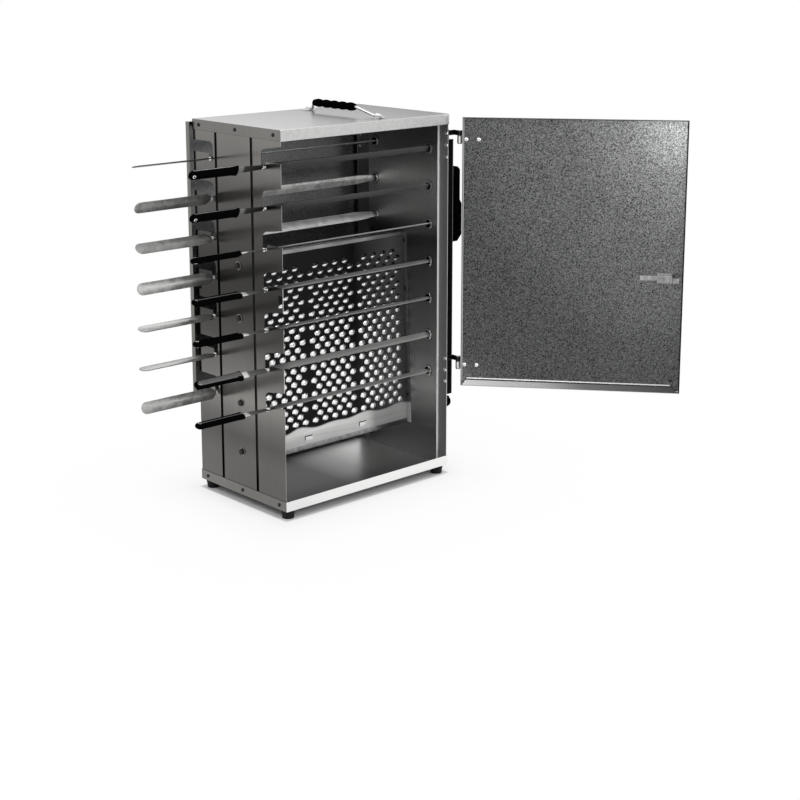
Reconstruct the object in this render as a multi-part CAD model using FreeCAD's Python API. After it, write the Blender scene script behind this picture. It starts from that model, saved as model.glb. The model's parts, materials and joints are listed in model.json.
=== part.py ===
"""Upright two-sided gas kebab grill in folded sheet steel.

The cabinet is open at the front and the rear, and a tray-shaped door closes
each opening. A wedge-shaped burner with pressed port dimples stands in the
middle. Seven skewers lie in front of it and seven behind it. Each skewer rests
in a notch of the left side, and its tip turns in a collared socket on the right.

Axes: +X to the right, +Y to the rear, +Z up. The origin is on the floor, under
the middle of the cabinet. All lengths are in millimetres.
"""
import FreeCAD, Part
import math
import os

from FreeCAD import Vector

# Cabinet
CAB_W = 410.0
CAB_D = 265.0
CAB_H = 700.0
SHEET = 1.0
LID_FLANGE = 20.0
PAN_FLANGE = 19.0
EDGE_SET = 2.0
CORNER_R = EDGE_SET
FOOT_H = 17.0
FOOT_R = 13.0
FOOT_TAPER = 1.5
FOOT_INSET_X = 16.0
FOOT_INSET_Y = 16.0

# Left side, three folded strips
FRONT_STRIP_W = 81.0
REAR_STRIP_W = 66.5
STRIP_GAP = 7.0
STRIP_LIP = 8.0

# Skewers
SKEWERS = 7
SKEWER_LOW_Z = 185.3
SKEWER_TOP_ROOM = 69.5
SKEWER_PITCH = (CAB_H - SKEWER_LOW_Z - SKEWER_TOP_ROOM) / (SKEWERS - 1)
FRONT_INSET = 51.5
REAR_INSET = 57.0
NECK_R = 4.0
NECK_LEN = 7.0
BLADE_T = 2.0
FRONT_BLADE_W = 13.0
REAR_BLADE_W = 20.0
BLADE_START = 12.0
TIP_TAPER = 45.0
TIP_REACH = 22.0
GRIP_LEN = 166.0
GRIP_W = 22.5
GRIP_SHOULDER = 9.0
HANDLE_LEN = 102.0
HANDLE_W = 17.0
HANDLE_T = 11.0
HANDLE_FLARE = 2.0
HANDLE_BEVEL = 3.0
HANDLE_HOLE_R = 2.6
HANDLE_GAP = 54.5
SHANK_W = 10.0
TANG_LEN = 62.0
TANG_W = 8.0
FRONT_TWISTS = (8.0, 38.0, 0.0, 12.0, 160.0, 122.0, 118.0)
REAR_TWISTS = (73.0, 4.0, 15.0, 73.0, 46.0, 114.0, -13.0)

# Notches in the left side, measured from the skewer's axis
SEAT_PLAY = 2.0
SEAT_CLEAR = 0.3
NOTCH_TOP = 31.0
NOTCH_FLARE = (9.0, 0.0)
NOTCH_R = 11.0
NOTCH_LIP = 10.0

# Sockets in the right side
SOCKET_R = 6.0
SOCKET_CLEAR = 0.3
EYELET_R = 12.5
EYELET_FLANGE = 1.6
EYELET_WALL = 1.6
EYELET_LEN = 3.6
EYELET_FUNNEL = 1.2
TIP_HOLE_R = 9.0

# Right liner, a shallow tray that stands off the right wall
LINER_SET = 5.0
LINER_FRONT = 25.0
LINER_REAR = 39.0

# Burner wedge
BURNER_LOW = 66.0
BURNER_TOP_ROOM = 244.0
BURNER_HIGH = CAB_H - BURNER_TOP_ROOM
BURNER_FOOT = 22.0
BURNER_CREST = 6.5
BURNER_STANDOFF = 15.0
BURNER_FLANGE = 12.0
END_PLATE_T = 1.2
PORT_ROWS = 24
PORT_COLS = 15
PORT_GROUP = 4
PORT_TOP = 36.5
PORT_FOOT = 50.9
PORT_SIDE = 19.5
PORT_SHIFT = 3.0
PORT_HALF_W = 7.2
PORT_HALF_H = 5.8
PORT_CROWN = 0.55
PORT_RISE = 2.4
CAP_LIP = 6.0
CAP_PLAY = 0.3
BASE_LIP = 8.0
TUBE_R = 11.0
TUBE_WALL = 1.0
TUBE_Z = 117.0
TUBE_END = 8.0
BOLT_R = 3.0
BOLT_HEAD_R = 6.5
BOLT_HEAD_H = 4.5
BOLT_Z = (BURNER_LOW + 19.0, BURNER_LOW + 114.0, BURNER_HIGH - 114.0, BURNER_HIGH - 15.0)
STANDOFF_R = 6.5
FLANGE_SCREW_Z = (BURNER_LOW + 59.0, BURNER_LOW + 100.5, BURNER_HIGH - 113.0,
                  BURNER_HIGH - 16.0)

# Gas valve and supply on the right
VALVE_Y = 40.0
VALVE_R = 10.0
VALVE_LEN = 20.0
VALVE_SET = 2.0
STEM_R = 3.0
STEM_LEN = 11.0
FIT = 0.05
KNOB_R = 13.0
KNOB_H = 12.0
KNOB_WAIST_R = 10.5
KNOB_RIB_W = 5.0
PIPE_R = 4.0
ELBOW = 12.0
NOZZLE_R = 4.0
INLET_R = 4.8
INLET_LEN = 18.0
INLET_HEX_R = 8.0
INLET_HEX_H = 7.0
VALVE_EAR = 12.0

# Side guard over the skewer tips, and its grip
GUARD_DEPTH = 25.0
GUARD_FRONT = 12.0
GUARD_REAR = 15.0
GUARD_LOW = 141.0
GUARD_TOP_ROOM = 51.0
GUARD_HIGH = CAB_H - GUARD_TOP_ROOM
GUARD_LIP = 10.0
SIDE_GRIP_Y = 36.0
SIDE_GRIP_DROP = 57.0
SIDE_GRIP_LEN = 148.0
SIDE_GRIP_HIGH = GUARD_HIGH - SIDE_GRIP_DROP
SIDE_GRIP_LOW = SIDE_GRIP_HIGH - SIDE_GRIP_LEN
SIDE_GRIP_W = 20.0
SIDE_GRIP_T = 12.0
SIDE_GRIP_OUT = 33.0
SIDE_GRIP_FOOT = 20.0

# Doors, measured when closed
DOOR_OVER_LATCH = 6.0
DOOR_OVER_HINGE = 9.0
DOOR_W = CAB_W + DOOR_OVER_LATCH + DOOR_OVER_HINGE
DOOR_LOW = 166.5
DOOR_TOP_ROOM = 6.0
DOOR_HIGH = CAB_H - DOOR_TOP_ROOM
DOOR_T = 1.0
DOOR_DEPTH = 12.5
DOOR_CLEAR = 0.5
DOOR_OPEN_DEG = 129.2
HEM_H = 13.5
HEM_INSET_HINGE = 12.0
HEM_INSET_LATCH = 20.0
HEM_END = 3.5
HINGE_OUT = 6.0
HINGE_Z = (DOOR_LOW + 39.5, DOOR_HIGH - 43.0)
KNUCKLE_R = 5.0
KNUCKLE_LEN = 14.0
PIN_R = 2.5
PIN_CLEAR = 0.05
LEAF_T = 1.6
LEAF_LEN = 40.0
HINGE_PLATE_H = 62.0
HINGE_PLATE_W = 9.5
ARM_H = 10.0
RIVET_R = 4.2
RIVET_H = 1.8
RIVET_PITCH = 24.0

# Slide latches
LATCH_Z = DOOR_LOW + 225.0
LATCH_SLOT_W = 11.5
LATCH_SLOT_H = 24.0
LATCH_DEPTH = 9.8
LATCH_W = 10.0
LATCH_T = 2.0
LATCH_TRAVEL = 8.0
LATCH_REST = 1.5
LATCH_LEG = 10.0
LATCH_LEN = 64.0
KEEPER_LEN = 29.0
KEEPER_T = 1.2
KEEPER_FOOT = 3.5
KEEPER_CLEAR = 0.3
STUD_R = 3.0
STUD_SLOT = 0.4
PULL_R = 9.0
PULL_H = 14.0

# Swinging handle on the lid
BAIL_X = CAB_W / 2.0 - 154.0
BAIL_END_ROOM = 22.5
BAIL_SPAN = CAB_D - 2 * BAIL_END_ROOM
BAIL_RISE = 26.0
BAIL_REST_DEG = 36.0
BAIL_R = 2.5
BAIL_FOOT = 20.0
BAIL_BEND = 9.0
LID_GRIP_LEN = 118.0
LID_GRIP_R = 6.4
LID_GRIP_RIB_R = 8.0
LID_GRIP_RIBS = 5
SADDLE_LEN = 12.0
SADDLE_FOOT = 9.0
SADDLE_T = 1.5

# Small screw heads
SCREW_R = 3.6
SCREW_INSET = 21.5
SCREW_H = 2.0
SCREW_SIDES = 8

LEFT = -CAB_W / 2.0
RIGHT = CAB_W / 2.0
FRONT = -CAB_D / 2.0
REAR = CAB_D / 2.0
BASE = FOOT_H
TOP = FOOT_H + CAB_H
STRIP_OUT = LEFT + SHEET
STRIP_IN = STRIP_OUT + SHEET
WALL_OUT = RIGHT - SHEET
WALL_IN = WALL_OUT - SHEET
LINER_IN = WALL_IN - LINER_SET
GUARD_OUT = WALL_OUT + GUARD_DEPTH
INSIDE_LOW = BASE + SHEET
INSIDE_HIGH = TOP - SHEET
PANEL_FRONT = FRONT + EDGE_SET
PANEL_REAR = REAR - EDGE_SET
SKEWER_Y = (FRONT + FRONT_INSET, REAR - REAR_INSET)
SKEWER_Z = [BASE + SKEWER_LOW_Z + SKEWER_PITCH * k for k in range(SKEWERS)]
BURNER_LEFT = STRIP_IN + BURNER_STANDOFF
PLATE_LEFT = BURNER_LEFT + END_PLATE_T
PLATE_RIGHT = LINER_IN
PLATE_MID = (PLATE_LEFT + PLATE_RIGHT) / 2.0
PLATE_SLOPE = math.hypot(BURNER_HIGH - BURNER_LOW, BURNER_FOOT - BURNER_CREST)
PORT_PITCH_X = (PLATE_RIGHT - PLATE_LEFT - 2 * PORT_SIDE) / (PORT_COLS - 1)
PORT_PITCH_Z = (PLATE_SLOPE - PORT_TOP - PORT_FOOT) / (PORT_ROWS - 1)
TUBE_MID_Z = BASE + TUBE_Z
VALVE_MID_Y = FRONT + VALVE_Y
DOOR_SKIN = FRONT - DOOR_CLEAR - DOOR_DEPTH
DOOR_RIGHT = RIGHT + DOOR_OVER_HINGE
DOOR_LEFT = DOOR_RIGHT - DOOR_W
HINGE_X = DOOR_RIGHT + HINGE_OUT
HINGE_Y = DOOR_SKIN + DOOR_T / 2.0
LATCH_MID_Z = BASE + LATCH_Z
X_AXIS = Vector(1, 0, 0)
Y_AXIS = Vector(0, 1, 0)
Z_AXIS = Vector(0, 0, 1)


def box(x0, x1, y0, y1, z0, z1):
    """Box between opposite corners, given in any order."""
    low = Vector(min(x0, x1), min(y0, y1), min(z0, z1))
    return Part.makeBox(abs(x1 - x0), abs(y1 - y0), abs(z1 - z0), low)


def rod(start, axis, radius, length):
    return Part.makeCylinder(radius, length, start, axis)


def fuse(shapes):
    """One solid from touching shapes, with the seams between them removed."""
    return shapes[0].multiFuse(shapes[1:]).removeSplitter()


def extrude(points, direction):
    """Prism over a closed outline of points."""
    wire = Part.makePolygon(list(points) + [points[0]])
    return Part.Face(wire).extrude(direction)


def polygon_prism(centre, axis, radius, height, sides):
    """Regular prism that stands on its centre along an axis."""
    turn = FreeCAD.Rotation(Z_AXIS, axis)
    points = []
    for k in range(sides):
        angle = 2.0 * math.pi * (k + 0.5) / sides
        local = Vector(radius * math.cos(angle), radius * math.sin(angle), 0)
        points.append(centre + turn.multVec(local))
    return extrude(points, axis * height)


def rounded_block(width, depth, z0, z1, radius):
    """Block about the Z axis with rounded upright corners."""
    block = box(-width / 2, width / 2, -depth / 2, depth / 2, z0, z1)
    upright = [e for e in block.Edges if abs(e.Vertexes[0].Z - e.Vertexes[-1].Z) > 1e-6]
    return block.makeFillet(radius, upright)


def folded_tray(z_floor, z_rim):
    """Sheet tray over the cabinet's plan, with its flange towards z_rim."""
    outer = rounded_block(CAB_W, CAB_D, min(z_floor, z_rim), max(z_floor, z_rim), CORNER_R)
    step = SHEET if z_rim > z_floor else -SHEET
    low = min(z_floor + step, z_rim + step)
    high = max(z_floor + step, z_rim + step)
    inner = rounded_block(CAB_W - 2 * SHEET, CAB_D - 2 * SHEET, low, high, CORNER_R - SHEET)
    return outer.cut(inner)


def lid():
    return folded_tray(TOP, TOP - LID_FLANGE)


def bottom_pan():
    return folded_tray(BASE, BASE + PAN_FLANGE)


def feet():
    """Four tapered rubber feet under the pan."""
    solids = []
    for sx in (-1, 1):
        for sy in (-1, 1):
            x = sx * (CAB_W / 2 - FOOT_INSET_X)
            y = sy * (CAB_D / 2 - FOOT_INSET_Y)
            foot = Part.makeCone(FOOT_R - FOOT_TAPER, FOOT_R, FOOT_H, Vector(x, y, 0), Z_AXIS)
            solids.append(foot)
    return Part.makeCompound(solids)


def notch(side, z):
    """Cutter for one skewer notch: side is -1 at the front edge, 1 at the rear edge."""
    edge = PANEL_FRONT if side < 0 else PANEL_REAR
    mid = (FRONT_INSET if side < 0 else REAR_INSET) - EDGE_SET
    half = NECK_R + SEAT_PLAY
    seat = z - NECK_R - SEAT_CLEAR + half
    far = mid + half
    top = z + NOTCH_TOP
    mouth = top + NOTCH_FLARE[0 if side < 0 else 1]
    outline = [(-1, mouth), (far, top), (far, seat), (mid - half, seat),
               (mid - half, z + NOTCH_LIP), (-1, z + NOTCH_LIP)]
    cutter = extrude([Vector(LEFT, edge - side * d, dz) for d, dz in outline],
                     X_AXIS * (4 * SHEET))
    corner = Vector(LEFT, edge - side * far, top)
    bend = [e for e in cutter.Edges if abs(e.Length - 4 * SHEET) < 1e-6
            and min(v.Point.distanceToPoint(corner) for v in e.Vertexes) < 1e-6]
    cutter = cutter.makeFillet(NOTCH_R, bend)
    bed = rod(Vector(LEFT, edge - side * mid, seat), X_AXIS, half, 4 * SHEET)
    return cutter.fuse(bed)


def latch_slot(side):
    """Cutter for the slot that a latch bolt enters."""
    edge = FRONT if side < 0 else REAR
    y = edge - side * LATCH_DEPTH
    half = LATCH_SLOT_W / 2
    high = LATCH_SLOT_H / 2
    return box(LEFT, STRIP_IN + SHEET, y - half, y + half, LATCH_MID_Z - high, LATCH_MID_Z + high)


def strip(y0, y1, lip_low, lip_high):
    """Upright left strip whose free edges turn inwards where asked."""
    parts = [box(STRIP_OUT, STRIP_IN, y0, y1, INSIDE_LOW, INSIDE_HIGH)]
    for wanted, y in ((lip_low, y0), (lip_high, y1 - SHEET)):
        if wanted:
            lip = box(STRIP_OUT, STRIP_IN + STRIP_LIP, y, y + SHEET, INSIDE_LOW, INSIDE_HIGH)
            parts.append(lip)
    return fuse(parts)


def left_edge_strip(side):
    """Front or rear strip, with its open notches and the latch slot."""
    if side < 0:
        shape = strip(PANEL_FRONT, PANEL_FRONT + FRONT_STRIP_W, False, True)
    else:
        shape = strip(PANEL_REAR - REAR_STRIP_W, PANEL_REAR, True, False)
    cutters = [notch(side, z) for z in SKEWER_Z]
    cutters.append(latch_slot(side))
    return shape.cut(cutters)


def left_centre_strip():
    y0 = PANEL_FRONT + FRONT_STRIP_W + STRIP_GAP
    y1 = PANEL_REAR - REAR_STRIP_W - STRIP_GAP
    shape = strip(y0, y1, True, True)
    holes = [rod(Vector(LEFT, 0, BASE + z), X_AXIS, BOLT_R + FIT, 4 * SHEET) for z in BOLT_Z]
    return shape.cut(holes)


def socket_holes(x, radius, length):
    holes = []
    for y in SKEWER_Y:
        for z in SKEWER_Z:
            holes.append(rod(Vector(x, y, z), X_AXIS, radius, length))
    return holes


def right_wall():
    shape = box(WALL_IN, WALL_OUT, PANEL_FRONT, PANEL_REAR, INSIDE_LOW, INSIDE_HIGH)
    cutters = socket_holes(WALL_IN - SHEET, TIP_HOLE_R, 3 * SHEET)
    cutters.append(rod(Vector(WALL_IN - SHEET, 0, TUBE_MID_Z), X_AXIS, TUBE_R + FIT, 3 * SHEET))
    return shape.cut(cutters)


def right_liner():
    """Tray-shaped liner that carries the sockets and the burner's right end."""
    y0 = FRONT + LINER_FRONT
    y1 = REAR - LINER_REAR
    web = box(LINER_IN, LINER_IN + SHEET, y0, y1, INSIDE_LOW, INSIDE_HIGH)
    near = box(LINER_IN, WALL_IN, y0, y0 + SHEET, INSIDE_LOW, INSIDE_HIGH)
    far = box(LINER_IN, WALL_IN, y1 - SHEET, y1, INSIDE_LOW, INSIDE_HIGH)
    cutters = socket_holes(LINER_IN - SHEET, SOCKET_R + EYELET_WALL + FIT, 3 * SHEET)
    cutters.append(rod(Vector(LINER_IN - SHEET, 0, TUBE_MID_Z), X_AXIS, TUBE_R + FIT, 3 * SHEET))
    return fuse([web, near, far]).cut(cutters)


def eyelet(y, z):
    """Flanged bush with a funnel mouth; the skewer's tip turns in its bore."""
    face = LINER_IN - EYELET_FLANGE
    bore = SOCKET_R
    barrel = SOCKET_R + EYELET_WALL
    outline = [(face, bore + EYELET_FUNNEL), (face, EYELET_R - EYELET_FLANGE / 2),
               (face + EYELET_FLANGE / 2, EYELET_R), (LINER_IN, EYELET_R), (LINER_IN, barrel),
               (LINER_IN + EYELET_LEN, barrel), (LINER_IN + EYELET_LEN, bore),
               (face + EYELET_FUNNEL, bore)]
    points = [Vector(x, y + r, z) for x, r in outline]
    profile = Part.Face(Part.makePolygon(points + [points[0]]))
    return profile.revolve(Vector(0, y, z), X_AXIS, 360)


def socket_eyelets():
    return Part.makeCompound([eyelet(y, z) for y in SKEWER_Y for z in SKEWER_Z])


def side_guard():
    """Pressed tray over the skewer tips, with a fixing lip above and below."""
    y0 = FRONT + GUARD_FRONT
    y1 = REAR - GUARD_REAR
    z0 = BASE + GUARD_LOW
    z1 = BASE + GUARD_HIGH
    outer = box(WALL_OUT, GUARD_OUT, y0, y1, z0, z1)
    bend = [e for e in outer.Edges if min(v.X for v in e.Vertexes) > GUARD_OUT - 0.1]
    outer = outer.makeChamfer(2 * SHEET, bend)
    inner = box(WALL_OUT, GUARD_OUT - SHEET, y0 + SHEET, y1 - SHEET, z0 + SHEET, z1 - SHEET)
    inside = [e for e in inner.Edges if min(v.X for v in e.Vertexes) > GUARD_OUT - SHEET - 0.1]
    inner = inner.makeChamfer(1.5 * SHEET, inside)
    lips = [box(WALL_OUT, WALL_OUT + SHEET, y0 + GUARD_LIP, y1 - GUARD_LIP, z, z + GUARD_LIP)
            for z in (z0 - GUARD_LIP, z1)]
    return fuse([outer.cut(inner)] + lips)


def guard_screw_heads():
    y0 = FRONT + GUARD_FRONT + 2.5 * GUARD_LIP
    y1 = REAR - GUARD_REAR - 2.5 * GUARD_LIP
    solids = []
    for z in (BASE + GUARD_LOW - GUARD_LIP / 2, BASE + GUARD_HIGH + GUARD_LIP / 2):
        for y in (y0, y1):
            solids.append(polygon_prism(Vector(WALL_OUT + SHEET, y, z), X_AXIS, SCREW_R,
                                        SCREW_H, SCREW_SIDES))
    return solids


def side_grip():
    """Moulded bow grip that stands off the guard."""
    y = FRONT + SIDE_GRIP_Y
    z0 = BASE + SIDE_GRIP_LOW
    z1 = BASE + SIDE_GRIP_HIGH
    out = GUARD_OUT + SIDE_GRIP_OUT
    bulge = 5.0
    outline = [(GUARD_OUT, z0), (out - 8, z0), (out + bulge, z0 + 14), (out + bulge, z0 + 74),
               (out, z0 + 82), (out, z1 - 8), (out - 8, z1), (GUARD_OUT, z1)]
    inner = out - SIDE_GRIP_T
    gap = [(GUARD_OUT - 1, z0 + SIDE_GRIP_FOOT), (inner - 6, z0 + SIDE_GRIP_FOOT),
           (inner, z0 + SIDE_GRIP_FOOT + 8), (inner, z1 - SIDE_GRIP_FOOT - 8),
           (inner - 6, z1 - SIDE_GRIP_FOOT), (GUARD_OUT - 1, z1 - SIDE_GRIP_FOOT)]
    near = y - SIDE_GRIP_W / 2
    bow = extrude([Vector(x, near, z) for x, z in outline], Y_AXIS * SIDE_GRIP_W)
    hollow = extrude([Vector(x, near - 1, z) for x, z in gap], Y_AXIS * (SIDE_GRIP_W + 2))
    long_edges = [e for e in bow.Edges if abs(e.Vertexes[0].Y - e.Vertexes[-1].Y) < 1e-6
                  and min(v.X for v in e.Vertexes) > out - 1]
    return bow.makeChamfer(2.5, long_edges).cut(hollow)


def half_depth(z):
    """Half the burner's depth at a height above the pan's underside."""
    share = (z - BURNER_LOW) / (BURNER_HIGH - BURNER_LOW)
    return BURNER_FOOT + (BURNER_CREST - BURNER_FOOT) * share


def port_centres():
    """Dimple centres in the plate: x from its middle, and the distance down from its top."""
    spots = []
    for row in range(PORT_ROWS):
        down = PORT_TOP + PORT_PITCH_Z * row
        inner_row = row % 2 == 0
        count = PORT_COLS - 1 if inner_row else PORT_COLS
        for col in range(count):
            if inner_row and col % (PORT_GROUP + 1) == PORT_GROUP:
                continue
            spots.append((PORT_SHIFT + (col - (count - 1) / 2.0) * PORT_PITCH_X, down))
    return spots


def ring(u, v, w, share, sides):
    """Corner points of an oval dimple outline at height w above the plate."""
    points = []
    for k in range(sides):
        angle = 2.0 * math.pi * k / sides
        points.append(Vector(u + share * PORT_HALF_W * math.cos(angle),
                             v + share * PORT_HALF_H * math.sin(angle), w))
    return points


def flat(points):
    return Part.Face(Part.makePolygon(points + [points[0]]))


def dimpled_sheet(width, height, sides, peaked):
    """Flat sheet in the XY plane with raised port dimples on +Z, as one solid."""
    corners = [Vector(-width / 2, 0, 0), Vector(width / 2, 0, 0),
               Vector(width / 2, height, 0), Vector(-width / 2, height, 0)]
    back = [p - Z_AXIS * SHEET for p in corners]
    holes = []
    faces = []
    for u, down in port_centres():
        base = ring(u, height - down, 0, 1.0, sides)
        holes.append(Part.makePolygon(base + [base[0]]))
        if peaked:
            peak = Vector(u, height - down, PORT_RISE)
            faces += [flat([base[k], base[(k + 1) % sides], peak]) for k in range(sides)]
            continue
        crown = ring(u, height - down, PORT_RISE, PORT_CROWN, sides)
        faces.append(flat(crown))
        for k in range(sides):
            n = (k + 1) % sides
            faces.append(flat([base[k], base[n], crown[n], crown[k]]))
    outline = Part.makePolygon(corners + [corners[0]])
    faces.append(Part.makeFace([outline] + holes, "Part::FaceMakerBullseye"))
    faces.append(flat(back))
    for k in range(4):
        n = (k + 1) % 4
        faces.append(flat([corners[k], corners[n], back[n], back[k]]))
    shell = Part.Shell(faces)
    shell.sewShape()
    solid = Part.Solid(shell)
    if solid.Volume < 0:
        solid.reverse()
    return solid


def burner_plate(side, sides, peaked):
    """Leaning dimpled plate with an end flange turned away from the wedge."""
    rise = BURNER_HIGH - BURNER_LOW
    lean = math.degrees(math.atan2(BURNER_FOOT - BURNER_CREST, rise))
    sheet = dimpled_sheet(PLATE_RIGHT - PLATE_LEFT, PLATE_SLOPE, sides, peaked)
    ends = []
    for x in (PLATE_LEFT - PLATE_MID, PLATE_RIGHT - PLATE_MID - SHEET):
        ends.append(box(x, x + SHEET, 0, PLATE_SLOPE, -SHEET, BURNER_FLANGE))
    plate = sheet.fuse(ends).removeSplitter()
    plate.rotate(Vector(0, 0, 0), X_AXIS, 90 - lean)
    if side > 0:
        plate.rotate(Vector(0, 0, 0), Z_AXIS, 180)
    plate.translate(Vector(PLATE_MID, side * BURNER_FOOT, BASE + BURNER_LOW))
    return plate


def burner_front_plate():
    return burner_plate(-1, 4, False)


def burner_rear_plate():
    return burner_plate(1, 4, True)


def burner_end_plate():
    """Left end of the wedge, wide enough to carry both plates' flanges."""
    reach = BURNER_FLANGE
    low = half_depth(BURNER_LOW) + reach
    high = half_depth(BURNER_HIGH) + reach
    z0 = BASE + BURNER_LOW
    z1 = BASE + BURNER_HIGH
    points = [Vector(BURNER_LEFT, -low, z0), Vector(BURNER_LEFT, low, z0),
              Vector(BURNER_LEFT, high, z1), Vector(BURNER_LEFT, -high, z1)]
    holes = [rod(Vector(BURNER_LEFT - 1, 0, BASE + z), X_AXIS, BOLT_R + FIT, END_PLATE_T + 2)
             for z in BOLT_Z]
    return extrude(points, X_AXIS * END_PLATE_T).cut(holes)


def burner_cap():
    """Folded strip that closes the crest of the wedge."""
    half = half_depth(BURNER_HIGH - CAP_LIP) + CAP_PLAY
    z = BASE + BURNER_HIGH
    x0 = PLATE_LEFT + SHEET
    x1 = PLATE_RIGHT - SHEET
    outer = box(x0, x1, -half - SHEET, half + SHEET, z - CAP_LIP, z + SHEET)
    return outer.cut(box(x0 - 1, x1 + 1, -half, half, z - CAP_LIP - 1, z))


def burner_base():
    """Folded channel that closes the foot of the wedge."""
    half = half_depth(BURNER_LOW) + CAP_PLAY
    z = BASE + BURNER_LOW
    x0 = PLATE_LEFT + SHEET
    x1 = PLATE_RIGHT - SHEET
    outer = box(x0, x1, -half - SHEET, half + SHEET, z - SHEET, z + BASE_LIP)
    return outer.cut(box(x0 - 1, x1 + 1, -half, half, z, z + BASE_LIP + 1))


def burner_tube():
    """Mixing tube along the foot of the wedge, open at its right end."""
    start = PLATE_LEFT + 2 * SHEET
    length = WALL_OUT + TUBE_END - start
    outer = rod(Vector(start, 0, TUBE_MID_Z), X_AXIS, TUBE_R, length)
    bore = rod(Vector(start + TUBE_WALL, 0, TUBE_MID_Z), X_AXIS, TUBE_R - TUBE_WALL, length)
    slots = []
    step = (PLATE_RIGHT - start) / 6.0
    for k in range(5):
        x = start + step * (k + 0.75)
        slots.append(box(x, x + step / 2, -1.5, 1.5, TUBE_MID_Z, TUBE_MID_Z + TUBE_R + 1))
    return outer.cut([bore] + slots)


def burner_fixings():
    """Hexagon bolts from the centre strip to the end plate, each through a stand-off."""
    length = PLATE_LEFT - STRIP_OUT + 2.0
    solids = []
    for z in BOLT_Z:
        seat = Vector(STRIP_OUT, 0, BASE + z)
        head = polygon_prism(seat, X_AXIS * -1, BOLT_HEAD_R, BOLT_HEAD_H, 6)
        solids.append(head.fuse(rod(seat, X_AXIS, BOLT_R, length)))
        start = Vector(STRIP_IN, 0, BASE + z)
        tube = rod(start, X_AXIS, STANDOFF_R, BURNER_STANDOFF)
        solids.append(tube.cut(rod(start, X_AXIS, BOLT_R + FIT, BURNER_STANDOFF)))
    return Part.makeCompound(solids)


def burner_flange_screws():
    """Screw heads on the plates' right flanges."""
    solids = []
    for side in (-1, 1):
        for z in FLANGE_SCREW_Z:
            y = side * (half_depth(z) + BURNER_FLANGE / 2)
            seat = Vector(PLATE_RIGHT - SHEET, y, BASE + z)
            solids.append(polygon_prism(seat, X_AXIS * -1, SCREW_R, SCREW_H, SCREW_SIDES))
    return solids


def mixing_cap():
    """End cap of the mixing tube with the nozzle's bore and three air windows."""
    x = WALL_OUT + TUBE_END
    disc = rod(Vector(x, 0, TUBE_MID_Z), X_AXIS, TUBE_R + 1.5, 2 * SHEET)
    cutters = [rod(Vector(x - 1, 0, TUBE_MID_Z), X_AXIS, NOZZLE_R + FIT, 4 * SHEET)]
    for k in range(3):
        angle = math.radians(90 + 120 * k)
        y = 7.4 * math.cos(angle)
        z = TUBE_MID_Z + 7.4 * math.sin(angle)
        cutters.append(rod(Vector(x - 1, y, z), X_AXIS, 2.3, 4 * SHEET))
    return disc.cut(cutters)


def supply_pipe():
    """Pipe from the valve's outlet, with the elbow and nozzle brazed to its end."""
    face = WALL_OUT + TUBE_END + 2 * SHEET
    half = ELBOW / 2
    block = box(face, face + ELBOW, -half, half, TUBE_MID_Z - half, TUBE_MID_Z + half)
    nose = rod(Vector(face, 0, TUBE_MID_Z), X_AXIS * -1, NOZZLE_R, 2 * SHEET + 3.0)
    start = VALVE_MID_Y + VALVE_R
    pipe = rod(Vector(face + half, start, TUBE_MID_Z), Y_AXIS, PIPE_R, -half - start)
    return fuse([block, nose, pipe])


def gas_valve():
    """Valve body with its wall flange, its outlet boss and the stem's bore."""
    x0 = WALL_OUT + VALVE_SET
    body = rod(Vector(x0, VALVE_MID_Y, TUBE_MID_Z), X_AXIS, VALVE_R, VALVE_LEN)
    neck = rod(Vector(x0 + VALVE_LEN, VALVE_MID_Y, TUBE_MID_Z), X_AXIS, 0.7 * VALVE_R, 3.0)
    x = WALL_OUT + TUBE_END + 2 * SHEET + ELBOW / 2
    boss = rod(Vector(x, VALVE_MID_Y, TUBE_MID_Z), Y_AXIS, PIPE_R + 1.5, VALVE_R)
    bore = rod(Vector(x0 + VALVE_LEN / 2, VALVE_MID_Y, TUBE_MID_Z), X_AXIS, STEM_R + FIT,
               VALVE_LEN)
    reach = VALVE_R + VALVE_EAR
    flange = box(WALL_OUT, x0, VALVE_MID_Y - reach, VALVE_MID_Y + reach,
                 TUBE_MID_Z - VALVE_EAR / 2, TUBE_MID_Z + VALVE_EAR / 2)
    return fuse([body, neck, boss, flange]).cut(bore)


def gas_inlet():
    """Hexagon and plain hose stub under the valve."""
    x = WALL_OUT + VALVE_SET + VALVE_LEN / 2
    top = TUBE_MID_Z - VALVE_R + 0.6
    hexagon = polygon_prism(Vector(x, VALVE_MID_Y, top), Z_AXIS * -1, INLET_HEX_R,
                            INLET_HEX_H, 6)
    stub = rod(Vector(x, VALVE_MID_Y, top - INLET_HEX_H), Z_AXIS * -1, INLET_R, INLET_LEN)
    seat = rod(Vector(WALL_OUT + VALVE_SET, VALVE_MID_Y, TUBE_MID_Z), X_AXIS, VALVE_R,
               VALVE_LEN)
    return fuse([hexagon, stub]).cut(seat)


def knob_face():
    return WALL_OUT + VALVE_SET + VALVE_LEN + 3.0 + 1.0


def gas_knob():
    """Round knob with a finger rib across its face and a bore for the stem."""
    x = knob_face()
    skirt = Part.makeCone(KNOB_R, KNOB_WAIST_R, KNOB_H, Vector(x, VALVE_MID_Y, TUBE_MID_Z),
                          X_AXIS)
    rib = box(x + KNOB_H - 1, x + KNOB_H + 4, VALVE_MID_Y - KNOB_RIB_W / 2,
              VALVE_MID_Y + KNOB_RIB_W / 2, TUBE_MID_Z - KNOB_WAIST_R + 1,
              TUBE_MID_Z + KNOB_WAIST_R - 1)
    bore = rod(Vector(x - 1, VALVE_MID_Y, TUBE_MID_Z), X_AXIS, STEM_R, 1 + KNOB_H / 2)
    return fuse([skirt, rib]).cut(bore)


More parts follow.
